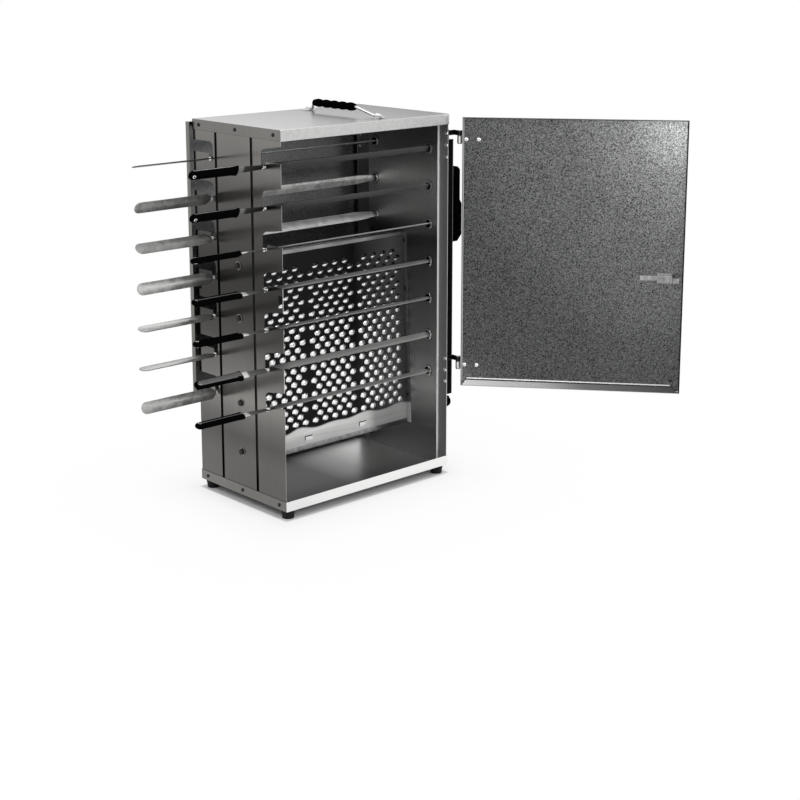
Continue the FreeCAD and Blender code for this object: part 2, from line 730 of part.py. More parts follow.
def valve_stem():
    """Stem that turns in the valve and carries the knob."""
    start = WALL_OUT + VALVE_SET + VALVE_LEN / 2 + 1
    length = knob_face() + KNOB_H / 2 - start
    return rod(Vector(start, VALVE_MID_Y, TUBE_MID_Z), X_AXIS, STEM_R, length)


def flange_screws(z):
    """Three screw heads on each side flange, one for each left strip."""
    ys = (FRONT + SCREW_INSET, 0.0, REAR - SCREW_INSET)
    solids = []
    for y in ys:
        solids.append(polygon_prism(Vector(LEFT, y, z), X_AXIS * -1, SCREW_R, SCREW_H,
                                    SCREW_SIDES))
        solids.append(polygon_prism(Vector(RIGHT, y, z), X_AXIS, SCREW_R, SCREW_H,
                                    SCREW_SIDES))
    return solids


def cabinet_screws():
    """Every screw head of the cabinet, the guard and the burner's right flanges."""
    heads = flange_screws(TOP - LID_FLANGE / 2) + flange_screws(BASE + PAN_FLANGE / 2)
    return Part.makeCompound(heads + guard_screw_heads() + burner_flange_screws())


def blade_outline(half_blade, tip_half):
    """Right part of a skewer's outline above its axis, from the neck to the point."""
    start = STRIP_OUT + NECK_LEN / 2
    socket = LINER_IN - EYELET_FLANGE - 2.0
    end = WALL_OUT + TIP_REACH
    return [(start, NECK_R), (STRIP_OUT + BLADE_START, half_blade),
            (socket - TIP_TAPER, half_blade), (socket, tip_half),
            (WALL_OUT + 2.0, tip_half), (end, 0.8)]


def skewer_solid(upper, y, z, twist, rounded):
    """Flat skewer from its upper outline, with a round neck where it rests."""
    lower = [(x, -w) for x, w in reversed(upper)]
    points = [Vector(x, y + w, z - BLADE_T / 2) for x, w in upper + lower]
    flat_part = extrude(points, Z_AXIS * BLADE_T)
    neck = rod(Vector(STRIP_OUT - NECK_LEN / 2, y, z), X_AXIS, NECK_R, NECK_LEN)
    parts = [flat_part, neck]
    if rounded:
        start = upper[0][0]
        parts.append(rod(Vector(start, y, z - BLADE_T / 2), Z_AXIS, upper[0][1], BLADE_T))
    shape = fuse(parts)
    shape.rotate(Vector(0, y, z), X_AXIS, twist)
    return shape


def tip_half():
    """Half-width that turns in the socket's bore with a small clearance."""
    reach = SOCKET_R - SOCKET_CLEAR
    return math.sqrt(reach * reach - BLADE_T * BLADE_T / 4)


def rear_skewer(k):
    """Wide skewer whose flat, rounded end is its own grip."""
    half = GRIP_W / 2
    neck_left = STRIP_OUT - NECK_LEN / 2
    upper = [(neck_left - GRIP_LEN + half, half), (neck_left - GRIP_SHOULDER, half),
             (neck_left, NECK_R)]
    upper += blade_outline(REAR_BLADE_W / 2, tip_half())
    return skewer_solid(upper, SKEWER_Y[1], SKEWER_Z[k], REAR_TWISTS[k], True)


def handle_right():
    """Right end of a front skewer's handle."""
    return STRIP_OUT - NECK_LEN / 2 - HANDLE_GAP


def front_skewer(k):
    """Narrow skewer whose tang runs into a moulded handle."""
    neck_left = STRIP_OUT - NECK_LEN / 2
    x = handle_right()
    upper = [(x - TANG_LEN, TANG_W / 2), (x, TANG_W / 2), (x, SHANK_W / 2),
             (neck_left, NECK_R)]
    upper += blade_outline(FRONT_BLADE_W / 2, min(tip_half(), FRONT_BLADE_W / 2))
    return skewer_solid(upper, SKEWER_Y[0], SKEWER_Z[k], FRONT_TWISTS[k], False)


def skewer_handle(k):
    """Bevelled handle, rounded at its butt and flared where the blade enters."""
    y = SKEWER_Y[0]
    z = SKEWER_Z[k]
    right = handle_right()
    left = right - HANDLE_LEN
    half = HANDLE_W / 2
    flare = half + HANDLE_FLARE
    low = z - HANDLE_T / 2

    def at(x, w):
        return Vector(x, y + w, low)

    butt = left + half
    edges = [
        Part.LineSegment(at(butt, half), at(right - 12, half)).toShape(),
        Part.LineSegment(at(right - 12, half), at(right - 4, flare)).toShape(),
        Part.LineSegment(at(right - 4, flare), at(right, flare - 4)).toShape(),
        Part.LineSegment(at(right, flare - 4), at(right, 4 - flare)).toShape(),
        Part.LineSegment(at(right, 4 - flare), at(right - 4, -flare)).toShape(),
        Part.LineSegment(at(right - 4, -flare), at(right - 12, -half)).toShape(),
        Part.LineSegment(at(right - 12, -half), at(butt, -half)).toShape(),
        Part.Arc(at(butt, -half), at(left, 0), at(butt, half)).toShape(),
    ]
    block = Part.Face(Part.Wire(edges)).extrude(Z_AXIS * HANDLE_T)
    rims = [e for e in block.Edges if abs(e.BoundBox.ZLength) < 1e-6]
    block = block.makeChamfer(HANDLE_BEVEL, rims)
    pocket = box(right - TANG_LEN, right + 1, y - TANG_W / 2, y + TANG_W / 2,
                 z - BLADE_T / 2, z + BLADE_T / 2)
    eye = rod(Vector(butt, y, low - 1), Z_AXIS, HANDLE_HOLE_R, HANDLE_T + 2)
    handle = block.cut([pocket, eye])
    handle.rotate(Vector(0, y, z), X_AXIS, FRONT_TWISTS[k])
    return handle


def door_tray(side):
    """Closed door: a flat skin with four edges folded towards the cabinet."""
    y_skin = side * -DOOR_SKIN
    y_rim = y_skin - side * DOOR_DEPTH
    z0 = BASE + DOOR_LOW
    z1 = BASE + DOOR_HIGH
    outer = box(DOOR_LEFT, DOOR_RIGHT, y_skin, y_rim, z0, z1)
    inner = box(DOOR_LEFT + DOOR_T, DOOR_RIGHT - DOOR_T, y_skin - side * DOOR_T,
                y_rim - side * 1.0, z0 + DOOR_T, z1 - DOOR_T)
    stud_x = latch_stud_x()
    slot = box(stud_x - LATCH_TRAVEL - STUD_R - STUD_SLOT, stud_x + STUD_R + STUD_SLOT,
               y_skin + side, y_skin - side * 2 * DOOR_T,
               LATCH_MID_Z - STUD_R - STUD_SLOT, LATCH_MID_Z + STUD_R + STUD_SLOT)
    return fuse([outer.cut([inner, slot]), drip_hem(side)])


def drip_hem(side):
    """Sloping fold along the foot of the door that leads drips to its inner edge."""
    y_top = side * (-DOOR_SKIN - DOOR_T + 0.2)
    y_foot = side * (-DOOR_SKIN - DOOR_DEPTH + 1.3)
    z_foot = BASE + DOOR_LOW + DOOR_T / 2
    z_top = BASE + DOOR_LOW + HEM_H
    points = [Vector(DOOR_LEFT + HEM_END, y_foot, z_foot),
              Vector(DOOR_RIGHT - HEM_END, y_foot, z_foot),
              Vector(DOOR_RIGHT - HEM_INSET_HINGE, y_top, z_top),
              Vector(DOOR_LEFT + HEM_INSET_LATCH, y_top, z_top)]
    return extrude(points, Vector(0, 0, DOOR_T))


def mirror_rear(shape):
    """The rear door's hardware is the front door's, mirrored in the middle plane."""
    return shape.mirror(Vector(0, 0, 0), Y_AXIS)


def for_side(shape, side):
    return shape if side < 0 else mirror_rear(shape)


def door_leaves(side):
    """Two riveted straps on the door's outer face, each rolled round the hinge pin."""
    solids = door_rivets()
    for z in HINGE_Z:
        z0 = BASE + z - KNUCKLE_LEN / 2
        strap = box(DOOR_RIGHT - LEAF_LEN, HINGE_X, DOOR_SKIN - LEAF_T, DOOR_SKIN,
                    z0, z0 + KNUCKLE_LEN)
        barrel = rod(Vector(HINGE_X, HINGE_Y, z0), Z_AXIS, KNUCKLE_R, KNUCKLE_LEN)
        bore = rod(Vector(HINGE_X, HINGE_Y, z0 - 1), Z_AXIS, PIN_R + PIN_CLEAR,
                   KNUCKLE_LEN + 2)
        solids.append(fuse([strap, barrel]).cut(bore))
    return Part.makeCompound([for_side(s, side) for s in solids])


def brackets_at_front():
    """Wall plates with an arm that carries the pin, one at the top and one below."""
    y0 = PANEL_FRONT
    solids = []
    for n, z in enumerate(HINGE_Z):
        arm_low = BASE + z + KNUCKLE_LEN / 2 + 0.3
        plate_mid = BASE + z - (KNUCKLE_LEN + ARM_H) / 2
        plate = box(WALL_OUT, WALL_OUT + LEAF_T, y0, y0 + HINGE_PLATE_W,
                    plate_mid - HINGE_PLATE_H / 2, plate_mid + HINGE_PLATE_H / 2)
        reach = box(WALL_OUT, HINGE_X + LEAF_T / 2, y0, y0 + LEAF_T, arm_low, arm_low + ARM_H)
        finger = box(HINGE_X - LEAF_T / 2, HINGE_X + LEAF_T / 2, HINGE_Y, y0 + LEAF_T,
                     arm_low, arm_low + ARM_H)
        eye = rod(Vector(HINGE_X, HINGE_Y, arm_low), Z_AXIS, KNUCKLE_R, ARM_H)
        bore = rod(Vector(HINGE_X, HINGE_Y, arm_low - 1), Z_AXIS, PIN_R, ARM_H + 2)
        solids.append(fuse([plate, reach, finger, eye]).cut(bore))
    return solids


def pins_at_front():
    """Headed pins that hang in the brackets and carry the door leaves."""
    solids = []
    for z in HINGE_Z:
        low = BASE + z - KNUCKLE_LEN / 2 - 0.3
        high = BASE + z + KNUCKLE_LEN / 2 + 0.3 + ARM_H
        pin = rod(Vector(HINGE_X, HINGE_Y, low), Z_AXIS, PIN_R, high - low)
        head = rod(Vector(HINGE_X, HINGE_Y, low - 1.6), Z_AXIS, KNUCKLE_R, 1.6)
        solids.append(fuse([pin, head]))
    return solids


def rivets_at_front():
    """Rivet heads on the inner face of the right wall, three for each bracket."""
    solids = []
    y = PANEL_FRONT + HINGE_PLATE_W / 2
    for z in HINGE_Z:
        mid = BASE + z - (KNUCKLE_LEN + ARM_H) / 2
        for k in (-1, 0, 1):
            seat = Vector(WALL_IN, y, mid + k * (HINGE_PLATE_H / 2 - 8.0))
            solids.append(polygon_prism(seat, X_AXIS * -1, RIVET_R, RIVET_H, SCREW_SIDES))
    return solids


def hinge_brackets():
    """Brackets, pins and rivet heads of both doors' hinges."""
    solids = brackets_at_front() + pins_at_front() + rivets_at_front()
    return Part.makeCompound(solids + [mirror_rear(s) for s in solids])


def door_rivets():
    """Rivet heads on the inside of the closed front door, two for each leaf."""
    solids = []
    for z in HINGE_Z:
        for d in (RIVET_R + 1.0, RIVET_R + 1.0 + RIVET_PITCH):
            seat = Vector(DOOR_RIGHT - DOOR_T - d, DOOR_SKIN + DOOR_T, BASE + z)
            solids.append(polygon_prism(seat, Y_AXIS, RIVET_R, RIVET_H, SCREW_SIDES))
    return solids


def latch_tip_x():
    """Tip of the retracted bolt, for the closed door."""
    return STRIP_IN + LATCH_REST - 1.0


def latch_stud_x():
    return latch_tip_x() + LATCH_LEG + LATCH_LEN - STUD_R - 1.0


def latch_bolt(side):
    """Flat slide with a leg into the cabinet, a tip and a stud for the pull."""
    z0 = LATCH_MID_Z - LATCH_W / 2
    z1 = LATCH_MID_Z + LATCH_W / 2
    y_slide = DOOR_SKIN + DOOR_T + KEEPER_CLEAR
    y_tip = FRONT + LATCH_DEPTH
    tip = latch_tip_x()
    leg = tip + LATCH_LEG
    slide = box(leg, leg + LATCH_LEN, y_slide, y_slide + LATCH_T, z0, z1)
    riser = box(leg, leg + LATCH_T, y_slide, y_tip + LATCH_T / 2, z0, z1)
    tongue = box(tip, leg + LATCH_T, y_tip - LATCH_T / 2, y_tip + LATCH_T / 2, z0, z1)
    stud = rod(Vector(latch_stud_x(), y_slide, LATCH_MID_Z), Y_AXIS * -1, STUD_R,
               DOOR_T + KEEPER_CLEAR + 4.0)
    return for_side(fuse([slide, riser, tongue, stud]), side)


def latch_pull(side):
    """Round pull on the outside of the door, bored for the bolt's stud."""
    x = latch_stud_x()
    seat = Vector(x, DOOR_SKIN - 0.5, LATCH_MID_Z)
    pull = Part.makeCone(PULL_R, PULL_R - 1.5, PULL_H, seat, Y_AXIS * -1)
    rim = [e for e in pull.Edges if e.BoundBox.YMax < DOOR_SKIN - PULL_H]
    pull = pull.makeChamfer(1.5, rim)
    reach = DOOR_T + KEEPER_CLEAR + 4.0
    y_slide = DOOR_SKIN + DOOR_T + KEEPER_CLEAR
    bore = rod(Vector(x, y_slide, LATCH_MID_Z), Y_AXIS * -1, STUD_R, reach)
    return for_side(pull.cut(bore), side)


def latch_keeper(side):
    """Bridge that holds the slide against the inside of the door."""
    inner = LATCH_W / 2 + KEEPER_CLEAR
    y0 = DOOR_SKIN + DOOR_T
    crest = y0 + 2 * KEEPER_CLEAR + LATCH_T
    x0 = latch_tip_x() + LATCH_LEG + LATCH_T + KEEPER_CLEAR
    x1 = x0 + KEEPER_LEN
    profile = []
    for s in (1, -1):
        row = [(inner + KEEPER_T + KEEPER_FOOT, y0), (inner + KEEPER_T + KEEPER_FOOT, y0 + KEEPER_T),
               (inner + KEEPER_T, y0 + KEEPER_T), (inner + KEEPER_T, crest + KEEPER_T)]
        profile += [(s * h, y) for h, y in (row if s > 0 else reversed(row))]
    low = [(-inner, y0), (-inner, crest), (inner, crest), (inner, y0)]
    points = [Vector(x0, y, LATCH_MID_Z + h) for h, y in profile + low]
    return for_side(extrude(points, X_AXIS * (x1 - x0)), side)


def open_front(shape):
    """Turn a front-door piece from its closed place to the photographed opening."""
    shape.rotate(Vector(HINGE_X, HINGE_Y, 0), Z_AXIS, DOOR_OPEN_DEG)
    return shape


def bail_pose(shape):
    """Lay an upright handle piece over to the left about its feet."""
    shape.rotate(bail_axis(), Y_AXIS, -(90.0 - BAIL_REST_DEG))
    return shape


def bail_axis():
    return Vector(BAIL_X, 0, TOP + SADDLE_T + BAIL_R + 0.1)


def handle_rod():
    """Bent wire: two feet along the hinge axis, two arms and the bar in the grip."""
    axis = bail_axis()
    half = BAIL_SPAN / 2
    run = LID_GRIP_LEN / 2 + 4.0
    points = [Vector(axis.x, -half, axis.z), Vector(axis.x, -half + BAIL_FOOT, axis.z),
              Vector(axis.x, -run, axis.z + BAIL_RISE), Vector(axis.x, run, axis.z + BAIL_RISE),
              Vector(axis.x, half - BAIL_FOOT, axis.z), Vector(axis.x, half, axis.z)]
    path = bent_path(points, BAIL_BEND)
    circle = Part.Wire(Part.makeCircle(BAIL_R, points[0], Y_AXIS))
    rod_shape = path.makePipeShell([circle], True, True)
    return bail_pose(rod_shape)


def bent_path(points, radius):
    """Straight runs joined by tangent arcs of one radius."""
    edges = []
    start = points[0]
    for before, corner, after in zip(points, points[1:], points[2:]):
        into = (before - corner).normalize()
        out = (after - corner).normalize()
        turn = into.getAngle(out)
        reach = radius / math.tan(turn / 2)
        a = corner + into * reach
        b = corner + out * reach
        bisector = (into + out).normalize()
        mid = corner + bisector * (radius / math.sin(turn / 2) - radius)
        edges.append(Part.LineSegment(start, a).toShape())
        edges.append(Part.Arc(a, mid, b).toShape())
        start = b
    edges.append(Part.LineSegment(start, points[-1]).toShape())
    return Part.Wire(edges)


def handle_grip():
    """Turned grip with raised ribs, bored for the rod."""
    axis = bail_axis()
    z = axis.z + BAIL_RISE
    step = LID_GRIP_LEN / LID_GRIP_RIBS
    outline = [(-LID_GRIP_LEN / 2, BAIL_R + FIT)]
    for k in range(LID_GRIP_RIBS):
        y = -LID_GRIP_LEN / 2 + k * step
        outline += [(y, LID_GRIP_R), (y + 0.3 * step, LID_GRIP_R),
                    (y + 0.45 * step, LID_GRIP_RIB_R), (y + 0.7 * step, LID_GRIP_RIB_R),
                    (y + 0.85 * step, LID_GRIP_R)]
    outline += [(LID_GRIP_LEN / 2, LID_GRIP_R), (LID_GRIP_LEN / 2, BAIL_R + FIT)]
    points = [Vector(axis.x + r, y, z) for y, r in outline]
    profile = Part.Face(Part.makePolygon(points + [points[0]]))
    return bail_pose(profile.revolve(Vector(axis.x, 0, z), Y_AXIS, 360))


def handle_saddles():
    """Two bent straps on the lid, each with the bore that a rod foot turns in."""
    axis = bail_axis()
    solids = []
    bore_r = BAIL_R + FIT
    outer_r = bore_r + SADDLE_T
    for s in (-1, 1):
        y0 = s * (BAIL_SPAN / 2 - 3.0)
        y1 = y0 - s * SADDLE_LEN
        low = min(y0, y1)
        base = box(axis.x - outer_r - SADDLE_FOOT, axis.x + outer_r + SADDLE_FOOT, y0, y1,
                   TOP, TOP + SADDLE_T)
        hump = rod(Vector(axis.x, low, axis.z), Y_AXIS, outer_r, SADDLE_LEN)
        web = box(axis.x - outer_r, axis.x + outer_r, y0, y1, TOP, axis.z)
        bore = rod(Vector(axis.x, low - 1, axis.z), Y_AXIS, bore_r, SADDLE_LEN + 2)
        solid = fuse([base, web, hump]).cut([bore, box(-CAB_W, CAB_W, -CAB_D, CAB_D, 0, TOP)])
        solids.append(solid)
    return Part.makeCompound(solids)


def save(name, shape):
    """Write one sub-part, and stop if any of its solids is not sound."""
    solids = shape.Solids
    if not solids or not all(s.isValid() and s.Volume > 0 for s in solids):
        raise ValueError("unsound solid in " + name)
    shape.exportStep("parts/" + name + ".step")


def build():
    """All sub-parts by name, each at its place in the rest pose."""
    parts = {
        "lid": lid(),
        "bottom_pan": bottom_pan(),
        "feet": feet(),
        "left_front_strip": left_edge_strip(-1),
        "left_centre_strip": left_centre_strip(),
        "left_rear_strip": left_edge_strip(1),
        "right_wall": right_wall(),
        "right_liner": right_liner(),
        "socket_eyelets": socket_eyelets(),
        "side_guard": side_guard(),
        "side_grip": side_grip(),
        "burner_front_plate": burner_front_plate(),
        "burner_rear_plate": burner_rear_plate(),
        "burner_end_plate": burner_end_plate(),
        "burner_cap": burner_cap(),
        "burner_base": burner_base(),
        "burner_tube": burner_tube(),
        "burner_fixings": burner_fixings(),
        "mixing_cap": mixing_cap(),
        "supply_pipe": supply_pipe(),
        "gas_valve": gas_valve(),
        "gas_inlet": gas_inlet(),
        "gas_knob": gas_knob(),
        "valve_stem": valve_stem(),
        "cabinet_screws": cabinet_screws(),
        "hinge_brackets": hinge_brackets(),
        "handle_rod": handle_rod(),
        "handle_grip": handle_grip(),
        "handle_saddles": handle_saddles(),
    }
    for side, name in ((-1, "front"), (1, "rear")):
        place = open_front if side < 0 else (lambda shape: shape)
        parts[name + "_door"] = place(door_tray(side))
        parts[name + "_door_leaves"] = place(door_leaves(side))
        parts[name + "_latch_keeper"] = place(latch_keeper(side))
        parts[name + "_latch_bolt"] = place(latch_bolt(side))
        parts[name + "_latch_pull"] = place(latch_pull(side))
    for k in range(SKEWERS):
        number = str(SKEWERS - k)
        parts["front_skewer_" + number] = front_skewer(k)
        parts["front_skewer_handle_" + number] = skewer_handle(k)
        parts["rear_skewer_" + number] = rear_skewer(k)
    return parts


def main():
    os.makedirs("parts", exist_ok=True)
    for name, shape in build().items():
        save(name, shape)
    print("written to parts/")


main()
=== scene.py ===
"""Finishes and detailed pieces for an upright two-sided skewer grill.

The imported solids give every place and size. Lengths inside the makers of pieces
are millimetres in the grill's own frame, and meshes are written in metres.
"""

import json
import math

import bmesh
import bpy
from mathutils import Matrix, Vector


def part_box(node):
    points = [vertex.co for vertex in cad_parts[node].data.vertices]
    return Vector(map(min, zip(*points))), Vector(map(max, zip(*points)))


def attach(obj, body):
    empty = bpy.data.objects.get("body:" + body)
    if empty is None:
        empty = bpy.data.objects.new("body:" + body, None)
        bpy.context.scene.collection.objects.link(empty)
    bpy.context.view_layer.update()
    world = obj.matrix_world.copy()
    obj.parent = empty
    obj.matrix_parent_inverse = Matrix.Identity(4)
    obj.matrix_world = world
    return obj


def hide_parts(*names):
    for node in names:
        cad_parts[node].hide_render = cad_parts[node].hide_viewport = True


bl_info = {
    "name": "Skewer Grill Finishes",
    "version": (1, 0, 0),
    "blender": (4, 5, 0),
    "location": "3D View > Sidebar > Grill",
    "description": "Detailed pieces, materials and studio for an upright skewer grill",
    "category": "Object",
}

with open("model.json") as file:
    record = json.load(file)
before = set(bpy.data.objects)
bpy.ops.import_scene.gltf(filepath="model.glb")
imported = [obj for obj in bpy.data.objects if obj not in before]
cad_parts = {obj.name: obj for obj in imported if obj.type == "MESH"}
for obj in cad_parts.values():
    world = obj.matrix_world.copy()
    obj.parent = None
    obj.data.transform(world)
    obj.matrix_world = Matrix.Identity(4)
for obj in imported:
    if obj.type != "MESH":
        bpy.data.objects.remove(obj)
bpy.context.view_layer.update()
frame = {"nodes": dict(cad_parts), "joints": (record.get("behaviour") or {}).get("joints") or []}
JOINTS = {joint["name"]: joint for joint in frame["joints"]}

MM = 0.001
X = Vector((1, 0, 0))
Y = Vector((0, 1, 0))
Z = Vector((0, 0, 1))
SKEWERS = 7
FRONT_TWISTS = (118.0, 122.0, 160.0, 12.0, 0.0, 38.0, 8.0)
REAR_TWISTS = (-13.0, 114.0, 46.0, 73.0, 15.0, 4.0, 73.0)
DOOR_OPEN = 129.2

# Lengths that several pieces share, in millimetres
FOOT_HEIGHT = 17.0
HINGE_HEIGHTS = (206.0 + FOOT_HEIGHT, 651.0 + FOOT_HEIGHT)
FIXING_HEIGHTS = (85.0 + FOOT_HEIGHT, 180.0 + FOOT_HEIGHT, 342.0 + FOOT_HEIGHT,
                  441.0 + FOOT_HEIGHT)
NECK_BACK = 3.5
HANDLE_GAP = 54.5
HANDLE_LENGTH = 102.0
SCREWS_RIGHT = 200.0
LEAF_SHEET = 1.6
DOOR_SHEET = 1.0
DOOR_BEND = 2.4

# Limits that tell faces apart: a turn in radians and a share of a normal
LEVEL_TURN = 0.009
SQUARE_ON = 0.7

SQUARE = ((-1, -1), (1, -1), (1, 1), (-1, 1))
MIRROR = Matrix.Diagonal(Vector((1, -1, 1, 1)))

# Studio, in metres
BLACK = (0.0, 0.0, 0.0)
WHITE = (1.0, 1.0, 1.0)
FLOOR_REACH = 30.0
SKY_LIGHT = 0.55
LAMP_TARGET = Vector((0, 0, 0.35))


def node_box(node):
    """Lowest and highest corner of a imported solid, in millimetres."""
    low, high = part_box(node)
    return low / MM, high / MM


def joint_point(name):
    """A point on a joint's axis, in millimetres."""
    return Vector(JOINTS[name]["pos_m"]) / MM


def side_name(side):
    return "front" if side < 0 else "rear"


# Settings

def colour_setting(name, description, default):
    return bpy.props.FloatVectorProperty(name=name, description=description, default=default,
                                         subtype="COLOR", size=3, min=0, max=1)


def length_setting(name, description, default, low, high):
    return bpy.props.FloatProperty(name=name, description=description, default=default,
                                   unit="LENGTH", min=low, max=high)


class GrillFinish(bpy.types.PropertyGroup):
    steel_tone: colour_setting(
        "Side sheet", "Colour of the brushed side panels", (0.150, 0.144, 0.137))
    lining_tone: colour_setting(
        "Lining sheet", "Colour of the inner walls", (0.27, 0.27, 0.268))
    lid_tone: colour_setting(
        "Lid and pan sheet", "Colour of the bright lid and bottom pan", (0.58, 0.58, 0.575))
    door_tone: colour_setting(
        "Door sheet", "Colour of the coated door sheet", (0.100, 0.101, 0.102))
    burner_tone: colour_setting(
        "Burner sheet", "Colour of the burner sheet between the ports", (0.010, 0.010, 0.010))
    # The port domes are the sheet's own metal; their bright tone is a painted highlight.
    port_tone: colour_setting(
        "Port domes", "Colour of the raised port domes", (0.90, 0.90, 0.895))
    skewer_tone: colour_setting("Skewer steel", "Colour of the skewers", (0.30, 0.30, 0.295))
    bright_tone: colour_setting(
        "Bright fittings", "Colour of hinges, latches and screws", (0.72, 0.72, 0.715))
    brass_tone: colour_setting("Brass", "Colour of the gas fittings", (0.62, 0.44, 0.19))
    black_tone: colour_setting(
        "Black plastic", "Colour of grips, handles and knobs", (0.002, 0.002, 0.002))


class GrillDetail(bpy.types.PropertyGroup):
    fold_radius: length_setting(
        "Fold radius", "Rounding of folded sheet edges", 0.0011, 0.0001, 0.003)
    edge_break: length_setting(
        "Edge break", "Rounding of cut edges on thin pieces", 0.0003, 0.00005, 0.001)
    port_rise: length_setting(
        "Port rise", "Height of a port dome above the burner sheet", 0.0024, 0.0005, 0.004)
    port_half_width: length_setting(
        "Port half width", "Half the width of an oval port dome at its foot", 0.0072, 0.002, 0.009)
    port_half_height: length_setting(
        "Port half height", "Half the height of an oval port dome at its foot", 0.0058, 0.002,
        0.008)


def finish():
    return bpy.context.scene.grill_finish


def detail():
    return bpy.context.scene.grill_detail


# Shader groups

RELIEF_DEPTH = 0.0002
SOCKET_KINDS = {"Tint": "NodeSocketColor", "Stretch": "NodeSocketVector"}


def feed(tree, value, socket):
    """Wire another socket into a socket, or set its plain value."""
    if isinstance(value, bpy.types.NodeSocket):
        tree.links.new(value, socket)
    else:
        socket.default_value = value


def add_node(tree, kind, inputs, **settings):
    """New shader node with its settings made and its inputs fed."""
    node = tree.nodes.new("ShaderNode" + kind)
    for label, value in settings.items():
        setattr(node, label, value)
    for label, value in inputs.items():
        feed(tree, value, node.inputs[label])
    return node


def new_group(name, **inputs):
    """Shader group that gives a colour, a roughness and a height, with its two end nodes."""
    tree = bpy.data.node_groups.new(name, "ShaderNodeTree")
    for label, value in inputs.items():
        socket = tree.interface.new_socket(
            label, in_out="INPUT", socket_type=SOCKET_KINDS.get(label, "NodeSocketFloat"))
        socket.default_value = value
    for label, kind in (("Color", "NodeSocketColor"), ("Roughness", "NodeSocketFloat"),
                        ("Height", "NodeSocketFloat")):
        tree.interface.new_socket(label, in_out="OUTPUT", socket_type=kind)
    return tree, tree.nodes.new("NodeGroupInput").outputs, tree.nodes.new("NodeGroupOutput")


def end_group(tree, given, outlet, factor, rough, height):
    """Send out the tint times a grey factor, the roughness and the height."""
    colour = add_node(tree, "VectorMath", {0: given["Tint"], "Scale": factor},
                      operation="SCALE")
    feed(tree, colour.outputs[0], outlet.inputs["Color"])
    feed(tree, rough, outlet.inputs["Roughness"])
    feed(tree, height, outlet.inputs["Height"])
    return tree


def math_node(tree, operation, a, b):
    return add_node(tree, "Math", {0: a, 1: b}, operation=operation).outputs[0]


def added(tree, *values):
    """Sum of sockets and numbers."""
    total = values[0]
    for value in values[1:]:
        total = math_node(tree, "ADD", total, value)
    return total


def product(tree, a, b):
    return math_node(tree, "MULTIPLY", a, b)


def swing(tree, value, weight):
    """How far a value lies from a half, times a weight."""
    return product(tree, math_node(tree, "SUBTRACT", value, 0.5), weight)


def noise_node(tree, vector, scale, octaves, roughness=0.5):
    return add_node(tree, "TexNoise", {"Vector": vector, "Scale": scale, "Detail": octaves,
                                       "Roughness": roughness}).outputs["Fac"]


def object_place(tree):
    return tree.nodes.new("ShaderNodeTexCoord").outputs["Object"]


def brushed_group():
    """Fine drawn grain along one direction, with wide soft handling marks."""
    tree, given, outlet = new_group(
        "Brushed grain", Tint=(0.5, 0.5, 0.5, 1), Stretch=(1800.0, 1800.0, 14.0),
        Contrast=0.25, Smudge=0.3, Roughness=0.3)
    stretched = add_node(tree, "VectorMath", {0: object_place(tree), 1: given["Stretch"]},
                         operation="MULTIPLY")
    grain = noise_node(tree, stretched.outputs[0], 1.0, 3.0, 0.55)
    marks = noise_node(tree, object_place(tree), 4.2, 3.0)
    factor = added(tree, swing(tree, grain, given["Contrast"]),
                   swing(tree, marks, given["Smudge"]), 1.0)
    rough = added(tree, given["Roughness"], swing(tree, marks, 0.12))
    return end_group(tree, given, outlet, factor, rough, grain)


def spangle_group():
    """Mottled crystals and fine pits of hot-dipped sheet."""
    tree, given, outlet = new_group(
        "Coated spangle", Tint=(0.3, 0.3, 0.3, 1), Size=420.0, Contrast=0.5, Smudge=0.3,
        Roughness=0.4)
    place = object_place(tree)
    cells = add_node(tree, "TexVoronoi", {"Vector": place, "Scale": given["Size"]},
                     feature="F1")
    spots = add_node(tree, "SeparateColor", {0: cells.outputs["Color"]})
    pits = noise_node(tree, place, 820.0, 1.0)
    marks = noise_node(tree, place, 3.2, 2.0)
    mixed = added(tree, product(tree, spots.outputs[0], 0.42), product(tree, pits, 0.58))
    factor = added(tree, swing(tree, mixed, given["Contrast"]),
                   swing(tree, marks, given["Smudge"]), 1.0)
    rough = added(tree, given["Roughness"], swing(tree, mixed, 0.3))
    return end_group(tree, given, outlet, factor, rough, mixed)


def moulded_group():
    """Fine leather-like skin of moulded plastic or rubber, with faint dust."""
    tree, given, outlet = new_group(
        "Moulded skin", Tint=(0.02, 0.02, 0.02, 1), Size=1400.0, Dust=0.25, Roughness=0.45)
    place = object_place(tree)
    skin = noise_node(tree, place, given["Size"], 2.0)
    dust = noise_node(tree, place, 60.0, 4.0, 0.6)
    factor = added(tree, product(tree, dust, given["Dust"]), 1.0)
    rough = added(tree, given["Roughness"], swing(tree, dust, 0.2))
    return end_group(tree, given, outlet, factor, rough, skin)


GROUP_MAKERS = {"Brushed grain": brushed_group, "Coated spangle": spangle_group,
                "Moulded skin": moulded_group}


def tone(colour):
    return (*colour, 1.0)


def times(colour, factor):
    return tuple(part * factor for part in colour)


def graded(colour, *stops):
    """Lengths and colours, from lengths and shares of one colour."""
    return [(at, times(colour, share)) for at, share in stops]


